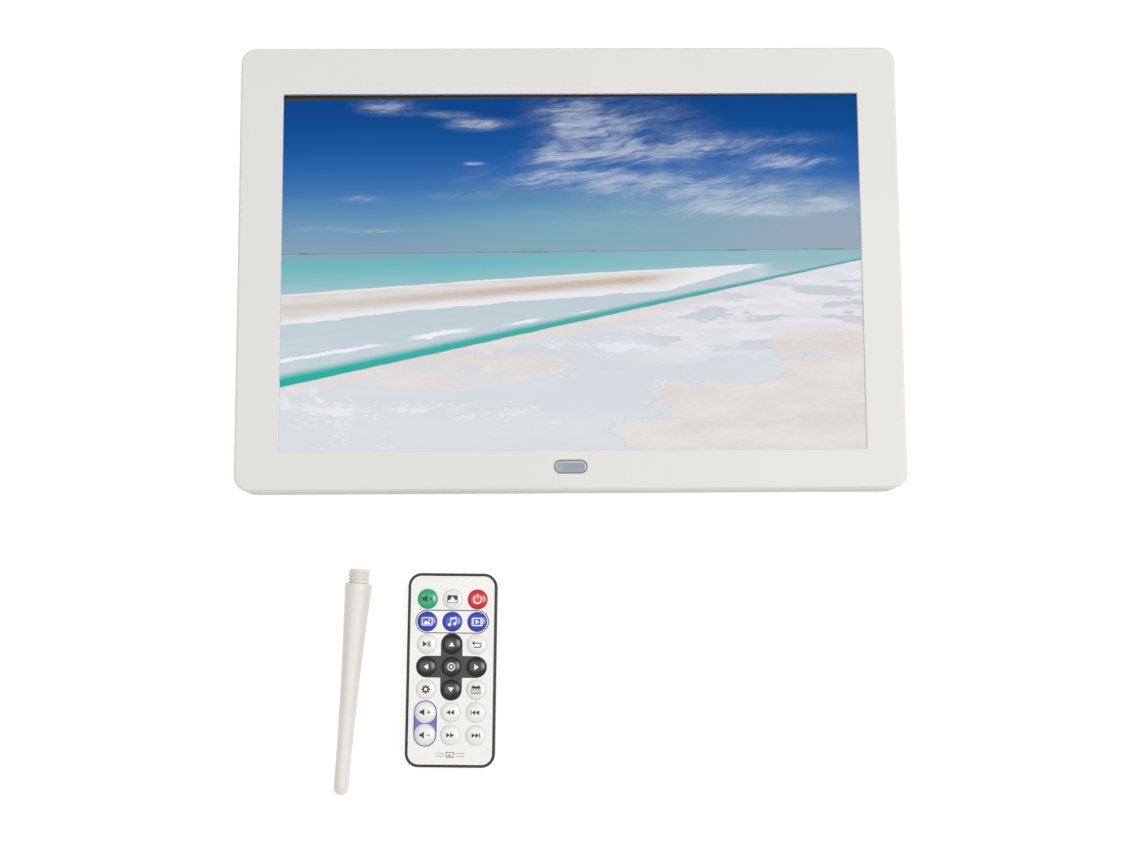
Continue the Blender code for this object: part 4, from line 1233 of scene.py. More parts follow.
# ------------------------------------------------------------------ the frame's housing
@dataclass
class Housing:
    """The white bezel and the deep rear cover."""

    seam: float = 18.5 * MM
    seam_gap: float = 0.3 * MM
    corner: float = 7.0 * MM
    wall: float = 2.0 * MM
    front_wall: float = 2.2 * MM
    front_round: float = 1.2 * MM
    rear_round: float = 5.0 * MM
    tongue_inset: float = 2.3 * MM
    tongue_depth: float = 1.2 * MM
    opening: tuple[float, float] = (261.8 * MM, 163.9 * MM)
    opening_middle: tuple[float, float] = (0.87 * MM, -2.17 * MM)
    boss_radius: float = 3.25 * MM
    post_radius: float = 4.5 * MM
    recess_radius: float = 3.0 * MM
    pilot_radius: float = 1.6 * MM
    pin_radius: float = 1.2 * MM
    screw_places: list[tuple[float, float]] = field(default_factory=list)
    bezel: Moulding = Moulding("bezel_white", paint_colour(226, 225, 222), 0.46)
    cover: Moulding = Moulding(
        "cover_white", paint_colour(206, 205, 200), 0.5, grain=0.7 * MM, relief=0.012 * MM
    )

    def __post_init__(self) -> None:
        """Read the housing's outer size and its screws' places from the frame."""
        low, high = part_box("front_bezel")
        self.width, self.height, self.depth = high.x - low.x, high.y - low.y, high.z
        for number in range(1, 5):
            low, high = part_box(f"housing_screw_{number}")
            self.screw_places.append(tuple(((low + high) / 2).xy))

    def _outline(self, name: str, inset: float, bottom: float, top: float) -> bpy.types.Object:
        """A layer with the housing's outline, inset all round."""
        size = (self.width - 2 * inset, self.height - 2 * inset)
        return Bench.layer(name, size, bottom, top, corner=max(self.corner - inset, MM), steps=14)

    def build(self) -> None:
        """Model and dress both shells."""
        self._front()
        self._rear()

    def _front(self) -> None:
        """The bezel with its soft front edge, picture opening, sensor hole and bosses."""
        piece = self._outline("bezel", 0, self.seam + self.seam_gap, self.depth)
        Bench.round_level(piece, self.depth, self.front_round, 8)
        back = self.depth - self.front_wall
        Bench.shape(piece, self._outline("hollow", self.wall, self.seam - MM, back))
        Bench.shape(piece, Bench.layer("opening", self.opening, self.seam, self.depth + MM,
                                       self.opening_middle, 0.5 * MM, 4))
        Bench.shape(piece, SensorWindow().hole(self.seam, self.depth + MM))
        Bench.soften(piece, 0.35 * MM, 3)
        for place in self.screw_places:
            boss = Bench.rod("boss", self.boss_radius, (*place, 14.4 * MM), 15 * MM, 32)
            pilot = Bench.rod("pilot", self.pilot_radius, (*place, 12 * MM), 15 * MM, 24)
            Bench.shape(boss, pilot)
            Bench.shape(piece, boss, "UNION")
        for strip in ("left", "right"):
            low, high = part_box(f"panel_bracket_{strip}")
            middle = (low + high) / 2
            reach = (high.y - low.y) / 2 - 4 * MM
            for side in (-1, 1):
                pin = (middle.x, middle.y + side * reach, 17.1 * MM)
                Bench.shape(piece, Bench.rod("pin", self.pin_radius, pin, 9.8 * MM, 20), "UNION")
        Bench.smooth(piece)
        Bench.level_shading(piece)
        settle(piece, self.bezel.material(), "frame", ["front_bezel"])

    def _rear(self) -> None:
        """The cover with its tongue, posts, seats, key pocket, grilles and port openings."""
        piece = self._outline("cover_shell", 0, 0, self.seam)
        Bench.round_level(piece, 0, self.rear_round, 10)
        hollow = self._outline("hollow", self.wall, self.wall, 13 * MM)
        Bench.round_level(hollow, self.wall, self.rear_round - self.wall, 6)
        Bench.shape(piece, hollow)
        rim = self.tongue_inset + self.tongue_depth
        Bench.shape(piece, self._outline("mouth", rim, 12 * MM, self.seam + MM))
        tongue = self._outline("tongue", self.tongue_inset, 15 * MM, self.seam + 2 * MM)
        Bench.shape(tongue, self._outline("tongue_hollow", rim, 14 * MM, self.seam + 3 * MM))
        Bench.shape(piece, tongue, "UNION")
        for place in self.screw_places:
            post = Bench.rod("post", self.post_radius, (*place, 3.8 * MM), 5.4 * MM)
            Bench.shape(piece, post, "UNION")
            recess = Bench.rod("recess", self.recess_radius, (*place, 1.75 * MM), 5.5 * MM)
            Bench.shape(piece, recess)
            Bench.shape(piece, Bench.rod("hole", self.pilot_radius, (*place, 6 * MM), 4 * MM, 24))
        RearFittings().cut_into(piece)
        Bench.soften(piece, 0.25 * MM, 2)
        Bench.level_shading(piece)
        settle(piece, self.cover.material(), "frame", ["rear_cover"])


@dataclass
class SensorWindow:
    """The pill-shaped smoked lens in the lower border."""

    length: float = 14.75 * MM
    height: float = 5.95 * MM
    play: float = 0.06 * MM

    def __post_init__(self) -> None:
        """Read the lens's place from the frame."""
        self.low, self.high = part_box("ir_window")
        self.middle = (self.low + self.high) / 2

    def hole(self, bottom: float, top: float) -> bpy.types.Object:
        """The cutter for the bezel's hole."""
        size = (self.length + 2 * self.play, self.height + 2 * self.play)
        return Bench.layer("window_hole", size, bottom, top, self.middle.xy,
                           size[1] / 2 - 0.01 * MM, 14)

    def build(self) -> None:
        """Model the lens with a shallow crown and the flange behind the bezel."""
        top = self.high.z
        rear = self.low.z + 0.8 * MM
        lens = Bench.layer("sensor_lens", (self.length, self.height), rear - 0.1 * MM, top,
                           self.middle.xy, self.height / 2 - 0.01 * MM, 14)
        Bench.round_level(lens, top, 1.1 * MM, 6)
        flange = Bench.layer("flange", (self.length + 2.2 * MM, self.height + 1.2 * MM),
                             self.low.z, rear, self.middle.xy, 3.5 * MM, 10)
        Bench.shape(lens, flange, "UNION")
        Bench.smooth(lens)
        finish = SmokedLens("window_smoke", self.middle, self.length / 2, self.height / 2)
        settle(lens, finish.material(), "frame", ["ir_window"])


@dataclass
class Panel:
    """The lit panel behind the opening."""

    picture: tuple[float, float] = (263.5 * MM, 163.2 * MM)
    middle: tuple[float, float] = (0.87 * MM, -2.17 * MM)
    turn: float = radians(0.40)
    drop: float = 0.55 * MM

    def build(self) -> None:
        """Model the glass cell with ground edges and give it its picture."""
        low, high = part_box("lcd_cell")
        size = (high.x - low.x, high.y - low.y)
        place = ((low + high) / 2).xy
        glass = Bench.layer("panel_glass", size, low.z, high.z, place, 0.4 * MM, 3)
        Bench.soften(glass, 0.12 * MM, 2)
        finish = Seascape("picture", *self.picture, Vector((*self.middle, 0)), self.turn, self.drop)
        settle(glass, finish.material(), "frame", ["lcd_cell"])


@dataclass
class RearFittings:
    """What opens or sits in the rear cover: leg sockets, key pocket, grilles, ports, screws."""

    wall: float = 2.0 * MM
    seat_radius: float = 9.3 * MM
    bore_radius: float = 7.3 * MM
    pocket_depth: float = 1.6 * MM
    pocket_width: float = 15.0 * MM
    pad_width: float = 20.0 * MM
    key_hole: float = 4.3 * MM
    slot_width: float = 1.4 * MM
    slot_pitch: float = 3.2 * MM

    KEYS = {"power": Symbol.POWER, "menu": Symbol.MENU, "up": Symbol.UP, "ok": Symbol.OK,
            "down": Symbol.DOWN}

    def __post_init__(self) -> None:
        """Read every fitting's place from the frame."""
        self.sockets = {name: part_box(f"leg_socket_{name}") for name in ("landscape", "portrait")}
        self.keys = {name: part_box(f"rear_key_{name}") for name in self.KEYS}
        self.speakers = [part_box(f"speaker_{side}") for side in ("left", "right")]

    @staticmethod
    def _middle(box: tuple[Vector, Vector]) -> Vector:
        """The middle of a box."""
        return (box[0] + box[1]) / 2

    def cut_into(self, cover: bpy.types.Object) -> None:
        """Cut and build up the cover for its fittings."""
        for box in self.sockets.values():
            place = self._middle(box).xy
            seat = Bench.rod("seat", self.seat_radius, (*place, 4.5 * MM), 7 * MM, 48)
            Bench.shape(cover, seat, "UNION")
            Bench.shape(cover, Bench.rod("bore", self.bore_radius, (*place, 4 * MM), 12 * MM, 48))
        self._pocket(cover)
        for box in self.speakers:
            self._grille(cover, self._middle(box), (box[1].x - box[0].x) / 2)
        self._ports(cover)

    def _pocket(self, cover: bpy.types.Object) -> None:
        """The key pad inside, its pocket outside and the holes through."""
        boxes = list(self.keys.values())
        middles = [self._middle(box) for box in boxes]
        column = sum(middles, Vector()) / len(middles)
        length = max(m.y for m in middles) - min(m.y for m in middles) + self.pocket_width
        floor = self.pocket_depth
        pad = Bench.layer("pad", (self.pad_width, length + 4 * MM), MM, floor + self.wall,
                          column.xy, 4 * MM)
        Bench.shape(cover, pad, "UNION")
        Bench.shape(cover, Bench.layer("pocket", (self.pocket_width, length), -MM, floor,
                                       column.xy, 7 * MM, 12))
        for middle in middles:
            hole = Bench.rod("key_hole", self.key_hole, (*middle.xy, 3 * MM), 6 * MM, 36)
            Bench.shape(cover, hole)

    def _grille(self, cover: bpy.types.Object, middle: Vector, radius: float) -> None:
        """Seven slots with round ends in a round field."""
        slots = []
        for row in range(-3, 4):
            offset = row * self.slot_pitch
            length = 2 * sqrt((radius - 2 * MM) ** 2 - offset**2)
            slots.append(pill(length, self.slot_width, (middle.x, middle.y + offset), steps=6))
        Bench.shape(cover, Bench.flat_shape("slots", slots, -MM, 3 * MM))

    @staticmethod
    def _ports(cover: bpy.types.Object) -> None:
        """Openings in the right wall for the four sockets."""
        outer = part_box("rear_cover")[1].x
        length = 6 * MM
        for node, margin in (("memory_card_socket", (-1.0, -0.3)), ("usb_socket", (-0.2, -0.4))):
            low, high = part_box(node)
            size = (length, high.y - low.y + 2 * margin[0] * MM,
                    high.z - low.z + 2 * margin[1] * MM)
            middle = (outer - 1 * MM, (low.y + high.y) / 2, (low.z + high.z) / 2)
            Bench.shape(cover, Bench.block("port", size, middle))
        for node, radius, height in (("headphone_jack", 2.6, 7.9), ("power_jack", 3.3, 7.7)):
            low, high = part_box(node)
            middle = (outer - 1 * MM, (low.y + high.y) / 2, height * MM)
            Bench.shape(cover, Bench.rod("port", radius * MM, middle, length, 32, "X"))

    def build(self) -> None:
        """Model and dress the sockets, the rear keys and the screws."""
        grey = Moulding("socket_grey", paint_colour(172, 172, 170), 0.42)
        grey_material = grey.material()
        for name, box in self.sockets.items():
            self._socket(name, box, grey_material)
        ink = PrintedInk("rear_symbol", paint_colour(96, 98, 100)).material()
        for name, box in self.keys.items():
            self._key(name, box, grey_material, ink)
        steel = PlatedSheet("screw_steel", paint_colour(190, 192, 196), 0.28).material()
        for number in range(1, 5):
            self._screw(number, steel)

    def _socket(
        self, name: str, box: tuple[Vector, Vector], material: bpy.types.Material
    ) -> None:
        """A blind bush with a chamfered mouth and a real internal thread."""
        bottom, top = box[0].z, box[1].z
        outer, bore, pitch, turns, chamfer = 7.0 * MM, 5.0 * MM, 1.5 * MM, 4, 0.3 * MM
        depth = top - 1.2 * MM
        thread_low = bottom + 0.6 * MM
        rows = [(bore, thread_low + row * pitch / 8) for row in range(turns * 8 + 1)]
        profile = [(0, depth), (bore, depth), (bore, depth - chamfer)] + rows[::-1]
        profile += [(bore + 0.45 * MM, bottom), (outer - chamfer, bottom),
                    (outer, bottom + chamfer), (outer, top - chamfer), (outer - chamfer, top),
                    (0, top)]
        piece = Bench.turned(f"leg_bush_{name}", profile, 64)
        cut_thread(piece, thread_low, thread_low + turns * pitch, bore, pitch, 0.55 * MM,
                   inward=False)
        Bench.smooth(piece, 50)
        Bench.move(piece, (*self._middle(box).xy, 0))
        settle(piece, material, "frame", [f"leg_socket_{name}"])

    def _key(
        self, name: str, box: tuple[Vector, Vector], material: bpy.types.Material,
        ink: bpy.types.Material,
    ) -> None:
        """A dished key cap with its inner flange, and a symbol on its face."""
        face, radius = box[0].z, 4.0 * MM
        flange = self.pocket_depth + self.wall + 0.3 * MM
        profile = [(0, face + 0.12 * MM), (1.6 * MM, face + 0.07 * MM), (2.7 * MM, face),
                   (3.4 * MM, face + 0.04 * MM), (3.8 * MM, face + 0.25 * MM),
                   (radius, face + 0.6 * MM), (radius, flange), (radius + MM, flange),
                   (radius + MM, box[1].z - 0.6 * MM), (1.5 * MM, box[1].z - 0.6 * MM),
                   (1.5 * MM, box[1].z), (0, box[1].z)]
        piece = Bench.turned(f"rear_cap_{name}", profile, 48)
        place = self._middle(box).xy
        Bench.smooth(piece)
        Bench.move(piece, (*place, 0))
        body = f"rear_key_{name}"
        settle(piece, material, body, [body])
        mirrored = [[(-x, y) for x, y in line] for line in self.KEYS[name].outlines()]
        mark = Bench.flat_shape(f"rear_mark_{name}", mirrored, face - 0.02 * MM, face + 0.25 * MM)
        Bench.move(mark, (*place, 0))
        settle(mark, ink, body)

    @staticmethod
    def _screw(number: int, material: bpy.types.Material) -> None:
        """A pan-head screw with a cross recess and a cut thread."""
        low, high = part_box(f"housing_screw_{number}")
        head, under = low.z, low.z + 1.7 * MM
        shank, pitch = 1.25 * MM, 1.0 * MM
        threaded = 11
        rows = [(shank, under + 0.6 * MM + row * pitch / 6) for row in range(threaded * 6 + 1)]
        profile = [(0, head), (1.3 * MM, head + 0.03 * MM), (2.1 * MM, head + 0.2 * MM),
                   (2.5 * MM, head + 0.6 * MM), (2.6 * MM, under), (shank, under)]
        profile += rows + [(0.45 * MM, high.z - 0.1 * MM), (0, high.z)]
        piece = Bench.turned(f"case_screw_{number}", profile, 32)
        start = under + 0.6 * MM
        cut_thread(piece, start, start + threaded * pitch, shank, pitch, 0.3 * MM, inward=True)
        for size in ((3.0 * MM, 0.6 * MM), (0.6 * MM, 3.0 * MM)):
            Bench.shape(piece, Bench.block("cross", (*size, 1.8 * MM), (0, 0, head)))
        Bench.smooth(piece, 50)
        Bench.move(piece, (*((low + high) / 2).xy, 0))
        settle(piece, material, "frame", [f"housing_screw_{number}"])


def cut_thread(
    piece: bpy.types.Object, low: float, high: float, radius: float, pitch: float, depth: float,
    inward: bool,
) -> None:
    """Move the points of a round wall in or out into a winding V thread.

    Args:
        piece: A piece turned about Z.
        low: Height where the thread starts.
        high: Height where it ends.
        radius: The wall's radius.
        pitch: Height gained in one turn.
        depth: Depth of the V.
        inward: True for an outside thread, whose groove goes in; False for one in a bore.
    """
    near = 0.02 * MM
    for vert in piece.data.vertices:
        reach = hypot(vert.co.x, vert.co.y)
        if abs(reach - radius) > near or not low - near <= vert.co.z <= high + near:
            continue
        turn = atan2(vert.co.y, vert.co.x) / (2 * pi)
        phase = ((vert.co.z - low) / pitch - turn) % 1.0
        run_in = min((vert.co.z - low) / (pitch / 2), (high - vert.co.z) / (pitch / 2), 1.0)
        groove = depth * abs(2 * phase - 1) ** 1.7 * max(run_in, 0.0)
        scale = (reach - groove if inward else reach + groove) / reach
        vert.co.x *= scale
        vert.co.y *= scale


# ------------------------------------------------------------------ the leg
@dataclass
class SupportLeg:
    """The one-piece leg: thread, collar and a long taper to a round tip."""

    thread_radius: float = 4.85 * MM
    thread_depth: float = 0.85 * MM
    pitch: float = 1.5 * MM
    turns: int = 4
    collar: float = 6.1 * MM
    collar_height: float = 2.6 * MM
    round_over: float = 0.5 * MM
    tip: float = 3.35 * MM
    length: float = 94.0 * MM
    taper: float = 85.0 * MM
    lean: float = radians(4.62)
    shoulder: tuple[float, float] = (-95.8 * MM, -141.8 * MM)
    finish: Moulding = Moulding(
        "leg_white", paint_colour(231, 227, 222), 0.42, grain=0.9 * MM, relief=0.006 * MM, coat=0.25
    )

    def _radius(self, distance: float) -> float:
        """The leg's radius at a distance below its shoulder."""
        return self.tip + (self.collar - self.tip) * max(0.0, 1 - distance / self.taper) ** 1.6

    def build(self) -> None:
        """Turn the leg, cut its thread and lay it on the surface."""
        ball = self.length - self.tip
        profile = [(self.tip * sin(angle), -ball - self.tip * cos(angle))
                   for angle in (step / 12 * pi / 2 for step in range(13))]
        profile[0] = (0, -self.length)
        steps = 44
        profile += [(self._radius(ball * (1 - step / steps)), -ball * (1 - step / steps))
                    for step in range(1, steps - 1)]
        edge = self.round_over
        profile += [(self.collar, -self.collar_height), (self.collar, -edge)]
        profile += [(self.collar - edge * (1 - cos(angle)), -edge * (1 - sin(angle)))
                    for angle in (radians(30), radians(60), radians(90))]
        root = self.thread_radius - self.thread_depth
        profile += [(root, 0), (root, 0.15 * MM)]
        start = 0.3 * MM
        profile += [(self.thread_radius, start + row * self.pitch / 12)
                    for row in range(self.turns * 12 - 1)]
        end = profile[-1][1]
        profile += [(root - 0.2 * MM, end + 0.25 * MM), (root - 0.6 * MM, end + 0.4 * MM)]
        profile += [(0, end + 0.4 * MM)]
        leg = Bench.turned("leg", profile, 72)
        cut_thread(leg, start, end, self.thread_radius, self.pitch, self.thread_depth, inward=True)
        Bench.smooth(leg, 60)
        tilt = asin((self.collar - self.tip) / ball)
        turn = Matrix.Rotation(-self.lean, 4, "Z") @ Matrix.Rotation(-pi / 2 + tilt, 4, "X")
        leg.rotation_euler = turn.to_euler()
        lowest = min((turn @ vert.co).z for vert in leg.data.vertices)
        Bench.move(leg, (*self.shoulder, -lowest))
        settle(leg, self.finish.material(), "leg", ["support_leg"])


# ------------------------------------------------------------------ the remote
@dataclass
class Remote:
    """The card remote, modelled round its own middle and then laid beside the leg."""

    size: tuple[float, float] = (40.0 * MM, 86.0 * MM)
    corner: float = 6.0 * MM
    rim_top: float = 7.0 * MM
    rim: float = 1.1 * MM
    wall: float = 1.8 * MM
    floor: float = 0.8 * MM
    face_bottom: float = 6.05 * MM
    face_top: float = 6.85 * MM
    place: tuple[float, float] = (-54.05 * MM, -180.6 * MM)
    turn: float = radians(-0.98)
    key_radius: float = 4.45 * MM
    key_hole: float = 4.475 * MM
    key_bottom: float = 6.05 * MM
    dome: float = 1.1 * MM
    column_pitch: float = 11.2 * MM
    row_pitch: float = 10.03 * MM
    first_row: float = 31.4 * MM
    cross_width: float = 9.7 * MM
    cross_arms: tuple[float, float] = (15.85 * MM, 15.0 * MM)
    cross_edge: float = 0.55 * MM
    media_ring: tuple[float, float] = (33.0 * MM, 10.5 * MM)
    media_field: tuple[float, float] = (32.1 * MM, 9.6 * MM)
    border_gap: float = 0.6 * MM
    border_width: float = 0.7 * MM
    volume_field: float = 10.0 * MM
    volume_edge: tuple[float, float] = (10.3 * MM, 9.4 * MM)
    volume_ring: tuple[float, float] = (4.76 * MM, 4.4 * MM)

    ROWS = (
        (Symbol.MUTE, Symbol.SLIDESHOW, Symbol.POWER),
        (Symbol.PHOTO, Symbol.MUSIC, Symbol.VIDEO),
        (Symbol.PLAY, Symbol.UP, Symbol.RETURN),
        (Symbol.LEFT, Symbol.OK, Symbol.RIGHT),
        (Symbol.SETUP, Symbol.DOWN, Symbol.CALENDAR),
        (Symbol.VOLUME_UP, Symbol.REWIND, Symbol.PREVIOUS),
        (Symbol.VOLUME_DOWN, Symbol.FORWARD, Symbol.NEXT),
    )
    BLUE = (Symbol.PHOTO, Symbol.MUSIC, Symbol.VIDEO)
    BLACK = (Symbol.UP, Symbol.DOWN, Symbol.LEFT, Symbol.RIGHT, Symbol.OK)

    def __post_init__(self) -> None:
        """Make the remote's finishes."""
        self.case_finish = Moulding("remote_black", paint_colour(30, 30, 31), 0.38,
                                    mottle=0.05).material()
        self.film = SilverFilm("remote_silver", paint_colour(243, 242, 239)).material()
        self.key_finish = {
            # painted shade at each dome's rim: faint on the white keys (0.96), strong on the black
            # ones (0.30)
            "key_white": DomeGloss("key_white", paint_colour(240, 239, 236), painted_rim_shade=0.96),
            "key_black": DomeGloss("key_black", paint_colour(34, 30, 26), 0.30, 0.30, 0.24),
            "key_blue": DomeGloss("key_blue", paint_colour(46, 66, 184)),
            "key_red": DomeGloss("key_red", paint_colour(214, 34, 52)),
            "key_green": DomeGloss("key_green", paint_colour(32, 176, 118)),
        }
        self.key_finish = {slot: gloss.material() for slot, gloss in self.key_finish.items()}
        inks = {
            "white": (246, 246, 246), "dark": (44, 44, 42), "deep_green": (4, 70, 42),
            "charcoal": (56, 55, 52), "grey": (84, 84, 90), "periwinkle": (112, 116, 190),
            "navy": (44, 50, 112), "label": (140, 138, 134),
        }
        self.ink = {name: PrintedInk(f"ink_{name}", paint_colour(*rgb)).material()
                    for name, rgb in inks.items()}

    def build(self) -> None:
        """Model and dress the whole remote."""
        self._case()
        self._face()
        self._prints()
        self._keys()
        self._tray()

    def _lay(self, piece: bpy.types.Object) -> bpy.types.Object:
        """Carry a piece from the remote's own middle to its place on the surface."""
        piece.rotation_euler = (0, 0, self.turn)
        Bench.move(piece, (*self.place, 0))
        return piece

    def _outline(self, name: str, inset: float, bottom: float, top: float) -> bpy.types.Object:
        """A layer with the remote's outline, inset all round."""
        size = (self.size[0] - 2 * inset, self.size[1] - 2 * inset)
        return Bench.layer(name, size, bottom, top, corner=self.corner - inset, steps=14)

    def _key_places(self) -> dict[Symbol, tuple[float, float]]:
        """Each key's symbol and its place on the face."""
        return {
            symbol: ((column - 1) * self.column_pitch, self.first_row - row * self.row_pitch)
            for row, symbols in enumerate(self.ROWS)
            for column, symbol in enumerate(symbols)
        }

    def _case(self) -> None:
        """The black shell with its recess, tray slot and lens hole."""
        case = self._outline("case", 0, 0, self.rim_top)
        Bench.round_level(case, self.rim_top, 0.45 * MM, 4)
        Bench.round_level(case, 0, 0.9 * MM, 5)
        Bench.shape(case, self._outline("hollow", self.wall, self.floor, 6.5 * MM))
        Bench.shape(case, self._outline("recess", self.rim, self.face_bottom - 0.3 * MM,
                                        self.rim_top + MM))
        end = -self.size[1] / 2
        Bench.shape(case, Bench.block("slot", (25.6 * MM, 5 * MM, 3.7 * MM),
                                      (0, end + 0.5 * MM, 2.65 * MM)))
        Bench.shape(case, Bench.rod("lens_hole", 1.8 * MM, (0, -end - MM, 3.1 * MM), 4 * MM,
                                    28, "Y"))
        Bench.smooth(case)
        Bench.level_shading(case)
        settle(self._lay(case), self.case_finish, "remote", ["remote_case"])

    def _holes(self, bottom: float) -> bpy.types.Object:
        """The cutter for all the keys' holes, from a height to above the face."""
        holes = [circle(self.key_hole, place, 48) for place in self._key_places().values()]
        return Bench.flat_shape("holes", holes, bottom, self.face_top + MM)

    def _face(self) -> None:
        """The film-covered face with a soft edge and a hole for each key."""
        face = self._outline("face", self.rim + 0.12 * MM, self.face_bottom, self.face_top)
        Bench.shape(face, self._holes(self.face_bottom - MM))
        Bench.round_level(face, self.face_top, 0.14 * MM, 3)
        Bench.smooth(face, 50)
        Bench.level_shading(face)
        settle(self._lay(face), self.film, "remote", ["remote_face_plate"])

    def _print(self, name: str, outlines: list[Outline], ink: str, lift: float) -> None:
        """One printed shape on the face, cut clear of the keys."""
        piece = Bench.flat_shape(name, outlines, self.face_top - 0.04 * MM, self.face_top + lift)
        Bench.shape(piece, self._holes(self.face_top - MM))
        settle(self._lay(piece), self.ink[ink], "remote")

    def _cross(self, grow: float) -> Outline:
        """The outline of the direction keys' cross, grown all round."""
        middle = self._key_places()[Symbol.OK]
        half, steps = (self.cross_width + 2 * grow) / 2, 20
        points: Outline = []
        for quarter, arm in enumerate(self.cross_arms * 2):
            heading, end = quarter * pi / 2, arm + grow - half
            local = [(end + half * cos(angle), half * sin(angle))
                     for angle in (-pi / 2 + step / steps * pi for step in range(steps + 1))]
            for x, y in (*local, (half, half)):
                points.append((middle[0] + x * cos(heading) - y * sin(heading),
                               middle[1] + x * sin(heading) + y * cos(heading)))
        return points

    def _prints(self) -> None:
        """Cross, pills, border line and the small label pictogram."""
        places = self._key_places()
        self._print("cross_edge", [self._cross(self.cross_edge)], "white", 0.012 * MM)
        self._print("cross", [self._cross(0)], "charcoal", 0.026 * MM)
        row = places[Symbol.MUSIC]
        media = pill(*self.media_field, row)
        ring = [pill(*self.media_ring, row), media]
        outer = [side - 2 * self.rim - self.border_gap for side in self.size]
        inner = [side - self.border_width for side in outer]
        border = [rounded(*outer, 4.6 * MM), rounded(*inner, 4.3 * MM)]
        self._print("border_line", border, "white", 0.01 * MM)
        self._print("media_ring", ring, "grey", 0.02 * MM)
        self._print("media_field", [media], "white", 0.01 * MM)
        top, bottom = places[Symbol.VOLUME_UP], places[Symbol.VOLUME_DOWN]
        middle = (top[0], (top[1] + bottom[1]) / 2)

        def round_both(width: float) -> Outline:
            """An upright pill of one width round the two volume keys."""
            return pill(self.row_pitch + width, width, middle, True)

        self._print("volume_field", [round_both(self.volume_field)], "periwinkle", 0.012 * MM)
        edge = [round_both(width) for width in self.volume_edge]
        self._print("volume_edge", edge, "navy", 0.03 * MM)
        for name, place in (("volume_up_ring", top), ("volume_down_ring", bottom)):
            rings = [circle(radius, place, 56) for radius in self.volume_ring]
            self._print(name, rings, "white", 0.022 * MM)
        self._label()

    def _label(self) -> None:
        """A tiny picture-frame pictogram between two short bars, in place of any wording."""
        y = -self.size[1] / 2 + 5.6 * MM
        frame_sign = [rounded(3.6 * MM, 2.6 * MM, 0.3 * MM, (0, y)),
                      rounded(2.8 * MM, 1.8 * MM, 0.1 * MM, (0, y)),
                      [(-1.1 * MM, y - 0.7 * MM), (-0.25 * MM, y + 0.45 * MM),
                       (0.7 * MM, y - 0.7 * MM)]]
        lines = [bar((side * 2.6 * MM, y + row), (side * 6.4 * MM, y + row), 0.26 * MM)
                 for side in (-1, 1) for row in (-0.6 * MM, 0.6 * MM)]
        self._print("label", frame_sign + lines, "label", 0.012 * MM)

    def _dome_profile(self, grow: float) -> list[tuple[float, float]]:
        """Radius and height of a key's section, grown outwards by a hair."""
        radius, steps, fullness = self.key_radius, 16, 2.5
        crown = []
        for step in range(steps + 1):
            share = 1 - step / steps
            rise = self.dome * (1 - share**fullness) ** (1 / 1.25)
            crown.append((radius * share, self.face_top + rise + grow))
        skirt = [(0, self.key_bottom), (radius - 0.2 * MM, self.key_bottom),
                 (radius + grow, self.key_bottom + 0.2 * MM),
                 (radius + grow, self.face_top - 0.05 * MM)]
        return skirt + crown

    def _slot_of(self, symbol: Symbol) -> str:
        """The material slot of a key."""
        if symbol in self.BLUE:
            return "key_blue"
        if symbol in self.BLACK:
            return "key_black"
        return {Symbol.MUTE: "key_green", Symbol.POWER: "key_red"}.get(symbol, "key_white")

    def _ink_of(self, symbol: Symbol) -> str:
        """The ink of a key's symbol."""
        if symbol is Symbol.MUTE:
            return "deep_green"
        light = symbol is Symbol.POWER or symbol in self.BLUE or symbol in self.BLACK
        return "white" if light else "dark"

    def _keys(self) -> None:
        """Every key's dome and the symbol that follows its curve."""
        pattern = Bench.turned("dome", self._dome_profile(0), 64)
        self._mark_rim(pattern)
        Bench.smooth(pattern, 50)
        skin = Bench.turned("symbol_skin", self._dome_profile(0.03 * MM), 64)
        for symbol, (x, y) in self._key_places().items():
            slot, body = self._slot_of(symbol), f"key_{symbol.value}"
            key = Bench.twin(pattern, f"dome_{symbol.value}", (x, y, 0))
            settle(self._lay(key), self.key_finish[slot], body, [body])
            mark = Bench.flat_shape(f"symbol_{symbol.value}", symbol.outlines(),
                                    self.face_top + 0.15 * MM, self.face_top + 2 * MM)
            shell = Bench.twin(skin, "shell", (0, 0, 0))
            Bench.shape(mark, shell, "INTERSECT")
            Bench.move(mark, (x, y, 0))
            settle(self._lay(mark), self.ink[self._ink_of(symbol)], body)
        for spare in (pattern, skin):
            bpy.data.objects.remove(spare, do_unlink=True)

    def _mark_rim(self, dome: bpy.types.Object) -> None:
        """Write how far each point is from the dome's middle, for the painted rim shade of its
        finish.
        """
        rim = dome.data.attributes.new("rim", "FLOAT", "POINT")
        for vert, share in zip(dome.data.vertices, rim.data):
            share.value = hypot(vert.co.x, vert.co.y) / self.key_radius

    def _tray(self) -> None:
        """The battery tray with a cell pocket, a window under it and grip ribs on its end."""
        low, width, length = 1.1 * MM, 25.0 * MM, 24.0 * MM
        high = 4.2 * MM
        end = -self.size[1] / 2
        tray = Bench.block("tray", (width, length, high - low), (0, end + length / 2,
                                                                 (high + low) / 2))
        cell = (0, end + length - 11.3 * MM)
        Bench.shape(tray, Bench.rod("pocket", 10.3 * MM, (*cell, high), 5.4 * MM, 72))
        Bench.shape(tray, Bench.rod("window", 8.0 * MM, (*cell, low), 4 * MM, 64))
        for rib in range(-3, 4):
            groove = (rib * 1.1 * MM, end, (high + low) / 2)
            Bench.shape(tray, Bench.block("groove", (0.45 * MM, 0.5 * MM, 1.8 * MM), groove))
        Bench.soften(tray, 0.12 * MM, 2)
        settle(self._lay(tray), self.case_finish, "battery_drawer",
               ["battery_tray"])


